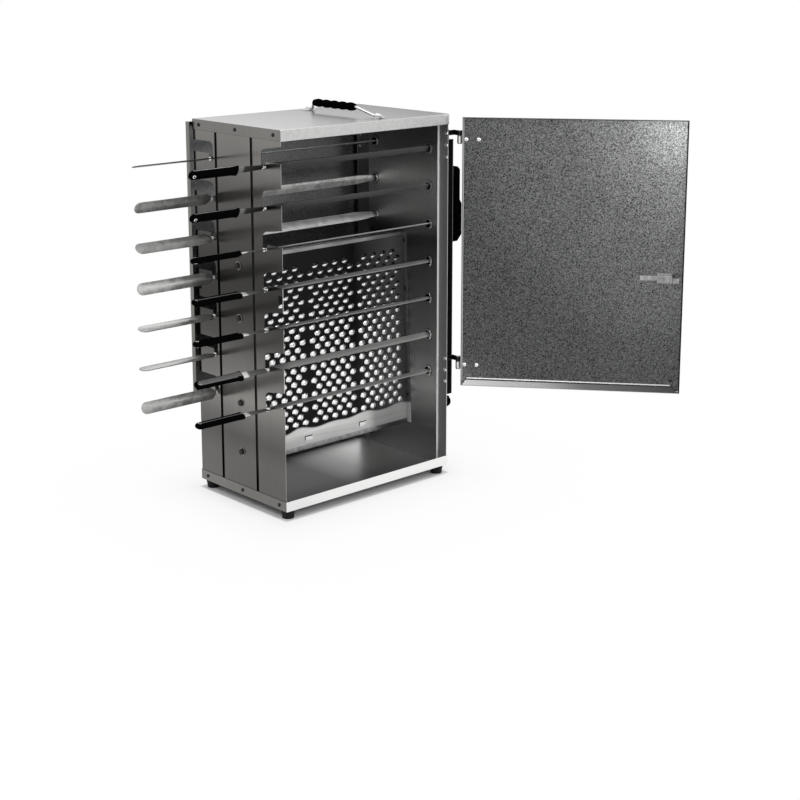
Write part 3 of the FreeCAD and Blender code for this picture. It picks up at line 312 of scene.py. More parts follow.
def length_ramp(tree, measure, stops):
    """Colour that changes along an axis or with the distance from a point.

    The measure is "X", "Y", "Z" or a point, and each stop is a length and a colour."""
    place = object_place(tree)
    if isinstance(measure, str):
        length = add_node(tree, "SeparateXYZ", {0: place}).outputs[measure]
    else:
        length = add_node(tree, "VectorMath", {0: place, 1: Vector(measure) * MM},
                          operation="DISTANCE").outputs["Value"]
    start, stop = stops[0][0], stops[-1][0]
    spread = add_node(tree, "MapRange", {"Value": length, "From Min": start * MM,
                                         "From Max": stop * MM})
    ramp = add_node(tree, "ValToRGB", {"Fac": spread.outputs["Result"]})
    keys = ramp.color_ramp.elements
    keys[0].color = tone(stops[0][1])
    keys[1].color = tone(stops[-1][1])
    for at, colour in stops[1:-1]:
        keys.new((at - start) / (stop - start)).color = tone(colour)
    return ramp.outputs["Color"]


# Materials

def finish_material(name, effect_name, metallic, bump, values, tones=None):
    """Material whose colour, roughness and relief come from one shader group.

    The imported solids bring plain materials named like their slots, so the finishes
    carry a prefix of their own."""
    name = "finish_" + name
    if name in bpy.data.materials:
        return bpy.data.materials[name]
    if effect_name not in bpy.data.node_groups:
        GROUP_MAKERS[effect_name]()
    material = bpy.data.materials.new(name)
    material.use_nodes = True
    tree = material.node_tree
    effect = add_node(tree, "Group", values, node_tree=bpy.data.node_groups[effect_name])
    if tones:
        feed(tree, length_ramp(tree, *tones), effect.inputs["Tint"])
    relief = add_node(tree, "Bump", {"Strength": bump, "Distance": RELIEF_DEPTH,
                                     "Height": effect.outputs["Height"]})
    for label, value in (("Metallic", metallic), ("Base Color", effect.outputs["Color"]),
                         ("Roughness", effect.outputs["Roughness"]),
                         ("Normal", relief.outputs["Normal"])):
        feed(tree, value, tree.nodes["Principled BSDF"].inputs[label])
    return material


def brushed(name, colour, stretch, contrast, smudge, rough, bump=0.12, tones=None):
    return finish_material(name, "Brushed grain", 1.0, bump, {
        "Tint": tone(colour), "Stretch": stretch, "Contrast": contrast, "Smudge": smudge,
        "Roughness": rough}, tones)


def spangled(name, colour, size, contrast, smudge, rough, bump, tones=None, metallic=1.0):
    return finish_material(name, "Coated spangle", metallic, bump, {
        "Tint": tone(colour), "Size": size, "Contrast": contrast, "Smudge": smudge,
        "Roughness": rough}, tones)


def moulded(name, colour, rough, bump=0.1, tones=None, size=1400.0):
    return finish_material(name, "Moulded skin", 0.0, bump, {
        "Tint": tone(colour), "Size": size, "Roughness": rough}, tones)


def set_shader(material, label, value):
    """Give a material's shader a plain value of its own."""
    material.node_tree.nodes["Principled BSDF"].inputs[label].default_value = value
    return material


UPRIGHT_GRAIN = (900.0, 900.0, 9.0)
LEVEL_GRAIN = (10.0, 900.0, 900.0)
FINE_GRAIN = (400.0, 400.0, 400.0)
EVEN_GRAIN = (300.0, 300.0, 300.0)


def side_steel():
    """Upright sheets, with painted reflection and shade in soft level bands."""
    colour = finish().steel_tone
    return brushed("side_steel", colour, UPRIGHT_GRAIN, 0.34, 0.55, 0.18, tones=("Z", graded(
        colour, (20, 0.86), (90, 0.90), (130, 0.68), (165, 1.0), (205, 1.62), (255, 1.12),
        (320, 0.5), (390, 0.24), (440, 0.26), (510, 0.43), (550, 0.62), (590, 0.64),
        (640, 1.12), (710, 1.38))))


def lining_steel():
    """Inner walls, with a painted reflection of the chamber in soft level bands."""
    colour = finish().lining_tone
    return brushed("lining_steel", colour, (700.0, 700.0, 8.0), 0.30, 0.7, 0.38, 0.04, (
        "Z", graded(colour, (20, 0.4), (80, 0.45), (120, 1.0), (170, 1.8), (240, 0.8),
                    (330, 0.6), (470, 0.4), (520, 1.7), (590, 2.1), (650, 0.9), (710, 0.6))))


def lid_steel():
    colour = finish().lid_tone
    # Painted shade: the lid's top darkens from its left end to its right end.
    return brushed("lid_steel", colour, LEVEL_GRAIN, 0.10, 0.16, 0.36, tones=(
        "X", graded(colour, (-205, 0.47), (-40, 0.37), (205, 0.13))))


def flange_steel():
    """Mottled outer flange of the lid, with painted light that brightens it towards the right end.
    """
    colour = finish().lid_tone
    return spangled("flange_steel", colour, 260.0, 0.30, 0.25, 0.38, 0.25, (
        "X", graded(colour, (-205, 0.95), (0, 1.0), (205, 1.18))))


def pan_steel():
    # Painted light: the pan's front and back flanges take a brighter copy of the lid's sheet.
    return brushed("pan_steel", times(finish().lid_tone, 1.55), LEVEL_GRAIN, 0.08, 0.12, 0.34)


def pan_floor_steel():
    """Floor of the bottom pan, with painted reflection and shade: dark at the left end, bright at
    the right.
    """
    colour = finish().lid_tone
    material = brushed("pan_floor_steel", colour, LEVEL_GRAIN, 0.3, 0.6, 0.3, tones=(
        "X", graded(colour, (-205, 0.036), (-20, 0.06), (60, 0.4), (205, 1.4))))
    return set_shader(material, "Specular Tint", (0.8, 0.8, 0.8, 1.0))


def end_flange_steel():
    """Side flanges of the lid and the pan, in a darker tone as painted shade."""
    return brushed("end_flange_steel", times(finish().steel_tone, 1.28), UPRIGHT_GRAIN, 0.3,
                   0.5, 0.3)


def return_steel():
    """Narrow folded returns along the chamber's sides."""
    return set_shader(brushed("return_steel", times(finish().lining_tone, 0.5), UPRIGHT_GRAIN,
                              0.2, 0.4, 0.5, 0.03), "Metallic", 0.2)


def bare_edge_steel():
    """Front lip of the lining, bright as a painted highlight."""
    return set_shader(brushed("bare_edge_steel", times(finish().lid_tone, 1.65), UPRIGHT_GRAIN,
                              0.1, 0.2, 0.4, 0.03), "Metallic", 0.2)


def cut_edge_steel():
    """Bare edges and narrow returns, bright as a painted highlight where they catch the light."""
    return brushed("cut_edge_steel", finish().bright_tone, (60.0, 60.0, 60.0), 0.2, 0.3, 0.3)


def door_steel():
    """Coated sheet with a painted sheen, brightest about the upper free corner."""
    colour = finish().door_tone
    low, high = closed_door_box()
    corner = door_place(-1) @ Vector((low.x, low.y, high.z))
    return spangled("door_steel", colour, 640.0, 3.8, 0.45, 0.42, 0.35, (corner, graded(
        colour, (0, 6.0), (50, 4.9), (110, 2.9), (220, 1.70), (380, 1.22), (450, 0.93),
        (560, 0.80), (620, 0.84), (700, 1.7))))


def rear_door_steel():
    """The same coated sheet, evenly lighter as painted light on the closed door."""
    return spangled("rear_door_steel", times(finish().door_tone, 1.9), 520.0, 0.8, 0.6, 0.34,
                    0.2)


def dark_fold_steel():
    """Folded rims that turn away from the light, in painted shade."""
    return brushed("dark_fold_steel", times(finish().lid_tone, 0.06), LEVEL_GRAIN, 0.2, 0.4,
                   0.3)


def door_fold_steel():
    """Folded rims of the doors, lighter than the door sheet as painted light."""
    return brushed("door_fold_steel", times(finish().lid_tone, 0.9), LEVEL_GRAIN, 0.2, 0.4,
                   0.35)


def hem_steel():
    """Drip fold of the doors, with painted shade that darkens it towards the free edge of the open
    door.
    """
    colour = finish().lid_tone
    return brushed("hem_steel", colour, LEVEL_GRAIN, 0.2, 0.4, 0.3, tones=(
        "X", graded(colour, (220, 0.72), (310, 0.50), (370, 0.20), (490, 0.09))))


def burner_steel():
    """Heat-blackened sheet that stays bright below the lowest ports, with painted reflection and
    shade across it.
    """
    colour = finish().burner_tone
    material = brushed("burner_steel", colour, (12.0, 500.0, 500.0), 0.5, 1.0, 0.24)
    tree = material.node_tree
    if "Blackened" in tree.nodes:
        return material
    set_shader(material, "Metallic", 0.3)
    set_shader(material, "Specular IOR Level", 0.12)
    # Painted reflection: the blackened sheet grows lighter towards the plate's right. Painted
    # shade: the bright band below the ports darkens at the plate's right.
    dark = length_ramp(tree, "X", graded(colour, (66, 0.5), (100, 3.5), (190, 10.0)))
    bright = length_ramp(tree, "X", graded(finish().lid_tone, (92, 1.6), (112, 0.85)))
    ripple = noise_node(tree, object_place(tree), 15.0, 0.0)
    parts = add_node(tree, "SeparateXYZ", {0: object_place(tree)})
    height = added(tree, parts.outputs["Z"], swing(tree, ripple, 0.028))
    blackened = add_node(tree, "MapRange", {"Value": height, "From Min": 0.121,
                                            "From Max": 0.125}, name="Blackened")
    mix = add_node(tree, "Mix", {"Factor": blackened.outputs["Result"], "A": bright,
                                 "B": dark}, data_type="RGBA")
    effect = [node for node in tree.nodes if node.type == "GROUP"][0]
    feed(tree, mix.outputs["Result"], effect.inputs["Tint"])
    return material


def port_steel():
    """Upper curves of the ports in a painted highlight, greyer at the plate's right."""
    colour = finish().port_tone
    return brushed("port_steel", colour, EVEN_GRAIN, 0.15, 0.2, 0.16, tones=(
        "X", graded(colour, (95, 1.0), (150, 0.7))))


def port_shade_steel():
    """Parts of the ports in painted shade, where the light misses them."""
    return brushed("port_shade_steel", times(finish().port_tone, 0.022), EVEN_GRAIN, 0.4, 0.6,
                   0.3)


# Near-black painted shade in holes, slots and recesses: port holes, tab openings, screw slots and
# eyelet holes.
def port_dark():
    return moulded("port_dark", (0.0015, 0.0015, 0.0015), 0.7)


def cap_side_steel():
    """Sides of the burner's crest cap, darker than its top as painted shade."""
    return brushed("cap_side_steel", times(finish().bright_tone, 0.45), (20.0, 90.0, 90.0), 1.2,
                   1.0, 0.4)


def spit_steel(name, share):
    """Flat spits with painted reflection: dark by the neck, with a short painted highlight beside
    the handle, and lighter towards the tip.
    """
    colour = times(finish().skewer_tone, share)
    return brushed(name, colour, (14.0, 500.0, 500.0), 0.2, 0.5, 0.68, 0.03, ("X", graded(
        colour, (-264, 2.8), (-250, 2.6), (-246, 0.6), (-208, 0.35), (-170, 0.6),
        (-150, 1.0), (150, 1.3), (196, 1.8))))


def skewer_steel():
    return spit_steel("skewer_steel", 0.95)


# Darker copy of the skewer steel, as painted reflection on the first two front spits.
def dark_skewer_steel():
    return spit_steel("dark_skewer_steel", 0.34)


def grip_steel(number):
    """Flat outer grips of the rear spits, softly mottled, each in its own tone of painted
    reflection: the first darkest outside, the third brightest inside.
    """
    colour = finish().skewer_tone
    outer = times(colour, 0.3 if number == 1 else 1.0)
    inner = times(colour, {2: 2.6, 3: 5.0}.get(number, 1.8))
    stops = graded(outer, (-372, 1.25), (-235, 1.1), (-206, 0.6))
    stops += graded(inner, (-170, 1.0), (196, 1.1))
    return spangled("grip_steel_%d" % number, colour, 110.0, 0.9, 0.7, 0.42, 0.15,
                    ("X", stops), 0.85)


def bright_steel():
    return brushed("bright_steel", finish().bright_tone, FINE_GRAIN, 0.15, 0.3, 0.2)


def latch_steel():
    return brushed("latch_steel", times(finish().bright_tone, 0.4), (90.0, 90.0, 90.0), 1.6,
                   0.8, 0.2)


def eyelet_steel():
    return brushed("eyelet_steel", times(finish().bright_tone, 0.045), FINE_GRAIN, 0.3, 0.4,
                   0.2)


def screw_steel():
    return brushed("screw_steel", (0.03, 0.03, 0.03), FINE_GRAIN, 0.3, 0.3, 0.3)


def brass():
    return brushed("brass", finish().brass_tone, EVEN_GRAIN, 0.2, 0.3, 0.28)


def matt_black(material):
    """No mirror sheen, so that a white floor can't grey the black."""
    return set_shader(material, "Specular IOR Level", 0.0)


def black_plastic():
    """Deep black moulded grips."""
    return matt_black(moulded("black_plastic", finish().black_tone, 0.4))


def painted_highlight_plastic():
    """Painted highlight along the upper curve of the grips, and over the sixth grip's broad face.
    """
    return moulded("painted_highlight_plastic", times(finish().black_tone, 55.0), 0.3)


def painted_shade_guard_edge():
    """Dark edge of the side guard in painted shade, with a painted highlight line by its outer
    rim.
    """
    colour = times(finish().black_tone, 4.0)
    rim = node_box("side_guard")[1].x
    return matt_black(moulded("painted_shade_guard_edge", colour, 0.4, tones=("X", graded(
        colour, (rim - 5.0, 1.0), (rim - 3.6, 1.0), (rim - 2.8, 30.0), (rim, 30.0)))))


def black_rubber():
    return set_shader(moulded("black_rubber", times(finish().black_tone, 3.0), 0.62, 0.3,
                              size=900.0), "Specular IOR Level", 0.2)


# Mesh makers

def ring_of(count, spot):
    """Points round a ring, each from the cosine and the sine of its angle."""
    angles = [2 * math.pi * k / count for k in range(count)]
    return [spot(math.cos(angle), math.sin(angle)) for angle in angles]


class Shape:
    """A mesh under construction, in millimetres, with one material slot per index."""

    def __init__(self):
        self.bm = bmesh.new()

    def ring_skin(self, rings, slot=0, closed=False):
        """Quads between rings of points, closed to a loop or with flat ends."""
        rows = [[self.bm.verts.new(p) for p in ring] for ring in rings]
        count = len(rows[0])
        pairs = list(zip(rows, rows[1:]))
        if closed:
            pairs.append((rows[-1], rows[0]))
        faces = []
        for low, high in pairs:
            for k in range(count):
                n = (k + 1) % count
                faces.append(self.bm.faces.new((low[k], low[n], high[n], high[k])))
        if not closed:
            faces.append(self.bm.faces.new(rows[0][::-1]))
            faces.append(self.bm.faces.new(rows[-1]))
        for face in faces:
            face.material_index = slot
        return faces

    def lathe(self, origin, axis, profile, sides=24, slot=0, closed=False):
        """Turned form: the profile gives distances along the axis and radii."""
        turn = Z.rotation_difference(axis)
        rings = []
        for along, radius in profile:
            rings.append(ring_of(sides, lambda c, s: origin + turn @ Vector(
                (radius * c, radius * s, along))))
        return self.ring_skin(rings, slot, closed)

    def dome(self, centre, wide, tall, profile, sides, slot):
        """Oval form over a level sheet: the profile gives heights and shares of its width."""
        rings = []
        for height, share in profile:
            rings.append(ring_of(sides, lambda c, s: centre + Vector(
                (wide * share * c, tall * share * s, height))))
        return self.ring_skin(rings, slot)

    def prism(self, outline, rise, slot=0):
        """Straight-sided form over an outline of points."""
        return self.ring_skin([outline, [p + rise for p in outline]], slot)

    def block(self, low, high, slot=0):
        a, b = Vector(low), Vector(high)
        outline = [Vector((x, y, a.z)) for x, y in (
            (a.x, a.y), (b.x, a.y), (b.x, b.y), (a.x, b.y))]
        return self.prism(outline, Vector((0, 0, b.z - a.z)), slot)

    def sweep(self, path, radius, sides, slot=0):
        """Round rod along a path of points, with its section turned as little as can be."""
        rings = []
        normal = (path[1] - path[0]).normalized().orthogonal().normalized()
        for k, point in enumerate(path):
            along = (path[min(k + 1, len(path) - 1)] - path[max(k - 1, 0)]).normalized()
            normal = (normal - along * normal.dot(along)).normalized()
            side = along.cross(normal)
            rings.append(ring_of(sides, lambda c, s: point + (normal * c + side * s) * radius))
        return self.ring_skin(rings, slot)

    def bevel(self, width, segments=2, angle=30.0):
        """Round the edges that turn by more than an angle."""
        self.bm.normal_update()
        bmesh.ops.recalc_face_normals(self.bm, faces=self.bm.faces)
        limit = math.radians(angle)
        edges = [e for e in self.bm.edges
                 if len(e.link_faces) == 2 and e.calc_face_angle(0.0) > limit]
        bmesh.ops.bevel(self.bm, geom=edges, offset=width, offset_type="OFFSET",
                        segments=segments, profile=0.5, affect="EDGES", clamp_overlap=True,
                        material=-1)

    def join(self, other):
        """Take in another shape's mesh."""
        mesh = bpy.data.meshes.new("joined")
        other.bm.to_mesh(mesh)
        other.bm.free()
        self.bm.from_mesh(mesh)
        bpy.data.meshes.remove(mesh)

    def emit(self, name, materials, body, slot, nodes, place=None, smooth=32.0, level=False):
        """Write the mesh out as a finished object that rides on a body."""
        if place is not None:
            bmesh.ops.transform(self.bm, matrix=place, verts=self.bm.verts)
        bmesh.ops.recalc_face_normals(self.bm, faces=self.bm.faces)
        bmesh.ops.scale(self.bm, vec=(MM, MM, MM), verts=self.bm.verts)
        mesh = bpy.data.meshes.new(name)
        self.bm.to_mesh(mesh)
        self.bm.free()
        for material in materials:
            mesh.materials.append(material)
        mesh.polygons.foreach_set("use_smooth", [True] * len(mesh.polygons))
        mesh.set_sharp_from_angle(angle=math.radians(smooth))
        if level:
            level_normals(mesh, math.cos(math.radians(smooth)))
        piece = bpy.data.objects.new(name, mesh)
        bpy.context.scene.collection.objects.link(piece)
        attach(piece, body)
        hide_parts(*nodes)


def level_normals(mesh, limit):
    """Keep wide flat faces flat in shade beside their rounded edges."""
    around = [[] for _ in mesh.vertices]
    faces = [(face.normal.copy(), face.normal * face.area) for face in mesh.polygons]
    for face in mesh.polygons:
        for vert in face.vertices:
            around[vert].append(face.index)
    normals = []
    for face in mesh.polygons:
        own = faces[face.index][0]
        for vert in face.vertices:
            total = Vector()
            for k in around[vert]:
                if faces[k][0].dot(own) > limit:
                    total += faces[k][1]
            normals.append(total.normalized())
    mesh.normals_split_custom_set(normals)


def flood(start, seen, neighbours):
    """All that can be reached from a start by its neighbours and isn't seen yet."""
    seen.add(start)
    stack = [start]
    reached = []
    while stack:
        reached.append(stack.pop())
        for other in neighbours(reached[-1]):
            if other not in seen:
                seen.add(other)
                stack.append(other)
    return reached


def level_regions(bm):
    """Groups of facets that lie level side by side."""
    seen = set()
    for start in bm.faces:
        if start in seen:
            continue

        def level(face):
            for edge in face.edges:
                if len(edge.link_faces) == 2 and edge.calc_face_angle(0.0) <= LEVEL_TURN:
                    yield from (other for other in edge.link_faces
                                if other.normal.angle(start.normal, 0.0) < LEVEL_TURN)

        yield flood(start, seen, level)


def merge_flats(bm):
    """Join level facets into one face wherever the joined face has no hole."""
    bm.normal_update()
    for region in [found for found in level_regions(bm) if len(found) > 1]:
        inside = set(region)
        rim = [e for f in region for e in f.edges
               if sum(1 for g in e.link_faces if g in inside) == 1]
        corners = {v for e in rim for v in e.verts}
        if any(sum(1 for e in rim if v in e.verts) != 2 for v in corners):
            continue
        loop = flood(rim[0].verts[0], set(),
                     lambda vert: [e.other_vert(vert) for e in rim if vert in e.verts])
        if len(loop) == len(corners):
            bmesh.ops.dissolve_faces(bm, faces=region, use_verts=False)


def refined(node, name, materials, slot, width, segments=2, angle=35.0, pick=None, rim=None,
            body="cabinet"):
    """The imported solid's own form with its sharp edges rounded.

    Where a piece has more than one material, pick gives a face's material from its
    normal and its middle in millimetres. The rim slot is for the rounded top edges that
    run along the front and back."""
    if not isinstance(materials, list):
        materials = [materials]
    shape = Shape()
    shape.bm.from_mesh(frame["nodes"][node].data)
    bmesh.ops.scale(shape.bm, vec=(1 / MM, 1 / MM, 1 / MM), verts=shape.bm.verts)
    bmesh.ops.remove_doubles(shape.bm, verts=shape.bm.verts, dist=0.001)
    merge_flats(shape.bm)
    for face in shape.bm.faces:
        face.material_index = pick(face.normal, face.calc_center_median()) if pick else 0
    shape.bevel(width, segments, angle)
    if rim is not None:
        for face in shape.bm.faces:
            if 0.2 < abs(face.normal.z) < 0.98 and abs(face.normal.y) > 0.2:
                face.material_index = rim
    shape.emit(name, materials, body, slot, [node], level=True)


def repaint(node, material):
    """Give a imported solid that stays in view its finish."""
    mesh = frame["nodes"][node].data
    for k in range(len(mesh.materials)):
        mesh.materials[k] = material


def turned_about(point, axis, degrees):
    return (Matrix.Translation(point) @ Matrix.Rotation(math.radians(degrees), 4, axis)
            @ Matrix.Translation(-point))


# Cabinet

def edge_or_face(normal, middle):
    """Cut edges that face forward take the second material, inner returns the third."""
    if normal.y < -SQUARE_ON and middle.y < node_box("left_front_strip")[0].y + 2.5:
        return 1
    return 2 * int(abs(normal.y) > SQUARE_ON)


def wall_face(normal, middle):
    return 2 if normal.x < -SQUARE_ON else edge_or_face(normal, middle)


def liner_face(normal, middle):
    if normal.y < -SQUARE_ON and middle.y < 0:
        return 1
    return 2 * int(abs(normal.y) > SQUARE_ON)


def lid_face(normal, middle):
    """Top, outer flanges and outer ends, and the lining's steel for all that looks inward."""
    low, high = node_box("lid")
    near = 1.2
    if normal.z > SQUARE_ON and middle.z > high.z - near:
        return 0
    if abs(normal.y) > SQUARE_ON and (middle.y < low.y + near or middle.y > high.y - near):
        return 1 if normal.y * middle.y > 0 else 3
    return 2 if abs(normal.x) > SQUARE_ON and normal.x * middle.x > 0 else 3


def pan_face(normal, middle):
    if abs(normal.y) > SQUARE_ON and normal.y * middle.y > 0:
        return 1
    if abs(normal.x) > SQUARE_ON and normal.x * middle.x > 0:
        return 2
    return 0 if normal.z > SQUARE_ON else 3


def guard_face(normal, middle):
    return int(abs(normal.y) > SQUARE_ON)


def make_cabinet():
    fold = detail().fold_radius / MM
    cut = detail().edge_break / MM
    # The lid's rounded front and back top edges take the bright steel as a painted highlight.
    refined("lid", "lid_sheet", [lid_steel(), flange_steel(), end_flange_steel(),
                                 lining_steel(), bright_steel()],
            "bright_steel", fold * 0.7, 3, pick=lid_face, rim=4)
    refined("bottom_pan", "pan_sheet", [pan_floor_steel(), pan_steel(), end_flange_steel(),
                                        lining_steel()],
            "bright_steel", fold * 0.4, 3, pick=pan_face)
    # On the strips, cut edges take a painted highlight and the returns painted shade.
    strip = [side_steel(), cut_edge_steel(), dark_fold_steel()]
    wall = [side_steel(), cut_edge_steel(), return_steel()]
    liner = [lining_steel(), bare_edge_steel(), return_steel()]
    guard = [side_steel(), painted_shade_guard_edge()]
    for node, name, materials, segments, pick in (
            ("left_front_strip", "left_front_strip_sheet", strip, 1, edge_or_face),
            ("left_centre_strip", "left_centre_strip_sheet", strip, 1, edge_or_face),
            ("left_rear_strip", "left_rear_strip_sheet", strip, 1, edge_or_face),
            ("right_wall", "right_wall_sheet", wall, 1, wall_face),
            ("right_liner", "liner_sheet", liner, 1, liner_face),
            ("side_guard", "guard_sheet", guard, 2, guard_face)):
        refined(node, name, materials, "brushed_steel", cut, segments, pick=pick)


def make_feet():
    low, high = node_box("feet")
    shape = Shape()
    reach = 13.0
    rise = high.z - low.z
    profile = [(0.0, 0.01), (0.0, reach - 3.2), (0.6, reach - 1.9), (rise * 0.55, reach - 1.2),
               (rise * 0.62, reach - 0.4), (rise - 1.0, reach), (rise, reach - 0.5),
               (rise, 0.01)]
    for x in (low.x + reach, high.x - reach):
        for y in (low.y + reach, high.y - reach):
            shape.lathe(Vector((x, y, low.z)), Z, profile, 32)
    shape.emit("rubber_feet", [black_rubber()], "cabinet", "black_rubber", ["feet"])


def cross_head(shape, seat, axis, radius, rise):
    """Pan head with a sunk cross, its slots in the second material."""
    profile = [(0.0, radius), (rise * 0.35, radius * 0.99), (rise * 0.75, radius * 0.82),
               (rise, radius * 0.42), (rise, 0.01)]
    shape.lathe(seat, axis, profile, 20)
    turn = Z.rotation_difference(axis)
    for angle in (20.0, 110.0):
        spin = Matrix.Rotation(math.radians(angle), 3, "Z")
        half = Vector((radius * 0.62, radius * 0.13, 0))
        outline = [Vector((sx * half.x, sy * half.y, rise * 0.55)) for sx, sy in SQUARE]
        outline = [seat + turn @ (spin @ p) for p in outline]
        shape.prism(outline, axis * (rise * 0.5), 1)


def make_screws():
    shape = Shape()
    bm = bmesh.new()
    bm.from_mesh(frame["nodes"]["cabinet_screws"].data)
    bmesh.ops.remove_doubles(bm, verts=bm.verts, dist=1e-6)
    seen = set()
    for start in bm.verts:
        if start in seen:
            continue
        screw = flood(start, seen, lambda vert: [e.other_vert(vert) for e in vert.link_edges])
        low = Vector([min(v.co[k] for v in screw) / MM for k in range(3)])
        high = Vector([max(v.co[k] for v in screw) / MM for k in range(3)])
        middle = (low + high) / 2
        outward = -1 if middle.x < SCREWS_RIGHT else 1
        seat = Vector((high.x if outward < 0 else low.x, middle.y, middle.z))
        cross_head(shape, seat, X * outward, 3.6, 2.0)
    bm.free()
    shape.emit("cross_head_screws", [screw_steel(), port_dark()], "cabinet", "bright_fittings",
               ["cabinet_screws"])


def make_burner_fixings():
    """Hexagon bolts on a pressed washer, their stand-offs and shanks."""
    reach = node_box("burner_fixings")[1].x
    face = node_box("left_centre_strip")[0].x
    inner = face + 1.0
    end = node_box("burner_end_plate")[0].x
    shape = Shape()
    for height in FIXING_HEIGHTS:
        seat = Vector((face, 0.0, height))
        shape.lathe(seat, -X, [(0.0, 8.2), (0.5, 8.2), (0.9, 7.6), (0.9, 0.01)], 28)
        shape.lathe(seat - X * 0.9, -X, [(0.0, 6.3), (2.6, 6.3), (3.3, 5.2), (3.3, 0.01)], 6, 1)
        shape.lathe(seat, X, [(0.0, 3.0), (reach - face, 3.0)], 14)
        shape.lathe(Vector((inner, 0.0, seat.z)), X,
                    [(0.0, 3.2), (0.0, 6.5), (end - inner, 6.5), (end - inner, 3.2)], 24)
    shape.emit("burner_bolts_and_spacers", [end_flange_steel(), screw_steel()], "cabinet",
               "bright_fittings", ["burner_fixings"])


def make_eyelets():
    """Rolled collars with a funnel mouth, one round each skewer tip."""
    shape = Shape()
    wall = node_box("right_liner")[0].x
    back = node_box("socket_eyelets")[1].x - wall
    loop = [(back, 6.0), (back, 7.4), (0.0, 7.6), (0.0, 12.4), (-0.5, 12.5), (-1.1, 12.1),
            (-1.5, 11.2), (-1.6, 9.8), (-1.5, 8.4), (-1.1, 7.3), (-0.4, 6.4), (0.6, 6.0)]
    for side in ("front", "rear"):
        for number in range(1, SKEWERS + 1):
            centre = joint_point("%s_skewer_turn_%d" % (side, number))
            centre.x = wall
            faces = shape.lathe(centre, X, loop, 36, closed=True)
            for k, face in enumerate(faces):
                band = k // 36
                if band in (5, 6, 7):
                    # Painted highlight: the mouth's faces towards the front take the bright steel;
                    # the rest of the mouth takes the lining's steel.
                    lit = face.calc_center_median().y - centre.y < -5.5
                    face.material_index = 1 if lit else 2
                elif band == 8:
                    face.material_index = 2
    shape.emit("rolled_eyelets", [eyelet_steel(), bright_steel(), lining_steel()], "cabinet",
               "bright_fittings", ["socket_eyelets"])


# Burner

PORT_PITCH_X = 24.7
PORT_PITCH_Z = 13.17
PORT_ROWS = 24
PORT_COLS = 15
PORT_GROUP = 4
PORT_TOP = 36.5
PORT_SHIFT = 3.0
BURNER_SHEET = 1.0


def port_places():
    """Places of the ports: along the plate from its middle, and down from its crest."""
    for row in range(PORT_ROWS):
        short = row % 2 == 0
        count = PORT_COLS - 1 if short else PORT_COLS
        for col in range(count):
            if short and col % (PORT_GROUP + 1) == PORT_GROUP:
                continue
            yield (PORT_SHIFT + (col - (count - 1) / 2) * PORT_PITCH_X,
                   PORT_TOP + PORT_PITCH_Z * row)


def press_port(sheet, centre, depth, side):
    """Oval dome with a hole painted as a dark disc of shade; faces that the light misses take the
    darker steel as painted shade, the rest a painted highlight.
    """
    wide = detail().port_half_width / MM
    tall = detail().port_half_height / MM
    top = detail().port_rise / MM
    profile = [(-0.2, 1.12), (0.12, 1.04), (0.45, 0.97), (top * 0.5, 0.86), (top * 0.8, 0.66),
               (top * 0.95, 0.42), (top, 0.2)]
    limit = -0.1 + 2.0 * depth
    for face in sheet.dome(centre, wide, tall, profile, 18, 1):
        face.normal_update()
        spot = face.calc_center_median() - centre
        upward = spot.y / tall + 0.35 * side * spot.x / wide
        if upward > limit or (face.normal.z < 0.3 and upward > limit - 0.8):
            face.material_index = 3
        elif depth > 0.2 and upward < -0.72 and spot.x * -side < 0:
            face.material_index = 3
    sheet.lathe(centre, Z, [(top - 0.2, 1.0), (top + 0.02, 0.9)], 8, 2)


def make_burner_plate(side):
    """Leaning plate with round domed ports, turned end flanges and lanced tabs."""
    node = "burner_%s_plate" % side_name(side)
    low, high = node_box(node)
    foot = 22.0
    crest = 6.5
    rise = 390.0
    slope = math.hypot(rise, foot - crest)
    width = high.x - low.x
    sheet = Shape()
    sheet.block((-width / 2, 0, -BURNER_SHEET), (width / 2, slope, 0))
    for x in (-width / 2, width / 2 - BURNER_SHEET):
        sheet.block((x, 0.5, -BURNER_SHEET * 0.9), (x + BURNER_SHEET, slope - 0.5, 12.0))
    for x in (-66.0, 72.0):
        sheet.block((x - 9, 15, -0.2), (x + 9, 16.2, 2.6))
        sheet.block((x - 9, 16.2, 1.6), (x + 9, 24, 2.6))
        # Near-black painted shade in the tab's opening.
        sheet.block((x - 9.5, 17, -0.05), (x + 9.5, 25.5, 0.06), 2)
    sheet.bevel(0.25)
    for u, down in port_places():
        depth = (down - PORT_TOP) / (PORT_PITCH_Z * (PORT_ROWS - 1))
        press_port(sheet, Vector((u, slope - down, 0)), depth, side)
    place = Matrix.Translation(Vector((low.x + width / 2, side * foot, low.z)))
    if side > 0:
        place = place @ Matrix.Rotation(math.pi, 4, "Z")
    lean = math.atan2(foot - crest, rise)
    place = place @ Matrix.Rotation(math.radians(90) - lean, 4, "X")
    sheet.emit(node + "_domed",
               [burner_steel(), port_steel(), port_dark(), port_shade_steel()], "cabinet",
               "burner_sheet", [node], place, 40.0)


def make_burner_rest():
    cut = detail().edge_break / MM
    refined("burner_cap", "burner_crest_cap", [bright_steel(), cap_side_steel()],
            "burner_sheet", cut, pick=lambda normal, middle: int(normal.z <= 0.3))
    refined("burner_base", "burner_foot_channel", latch_steel(), "burner_sheet", cut)
    refined("burner_end_plate", "burner_end_sheet", lining_steel(), "burner_sheet", cut, 1)
    refined("burner_tube", "mixing_tube", bright_steel(), "brushed_steel", cut, 1)


# Skewers

def flat_blade(shape, outline, thickness, edge):
    """Thin blade over a closed outline in the XY plane, with broken edges."""
    blade = Shape()
    half = Vector((0, 0, thickness / 2))
    blade.prism([p - half for p in outline], half * 2)
    blade.bevel(edge, 2, 60.0)
    shape.join(blade)


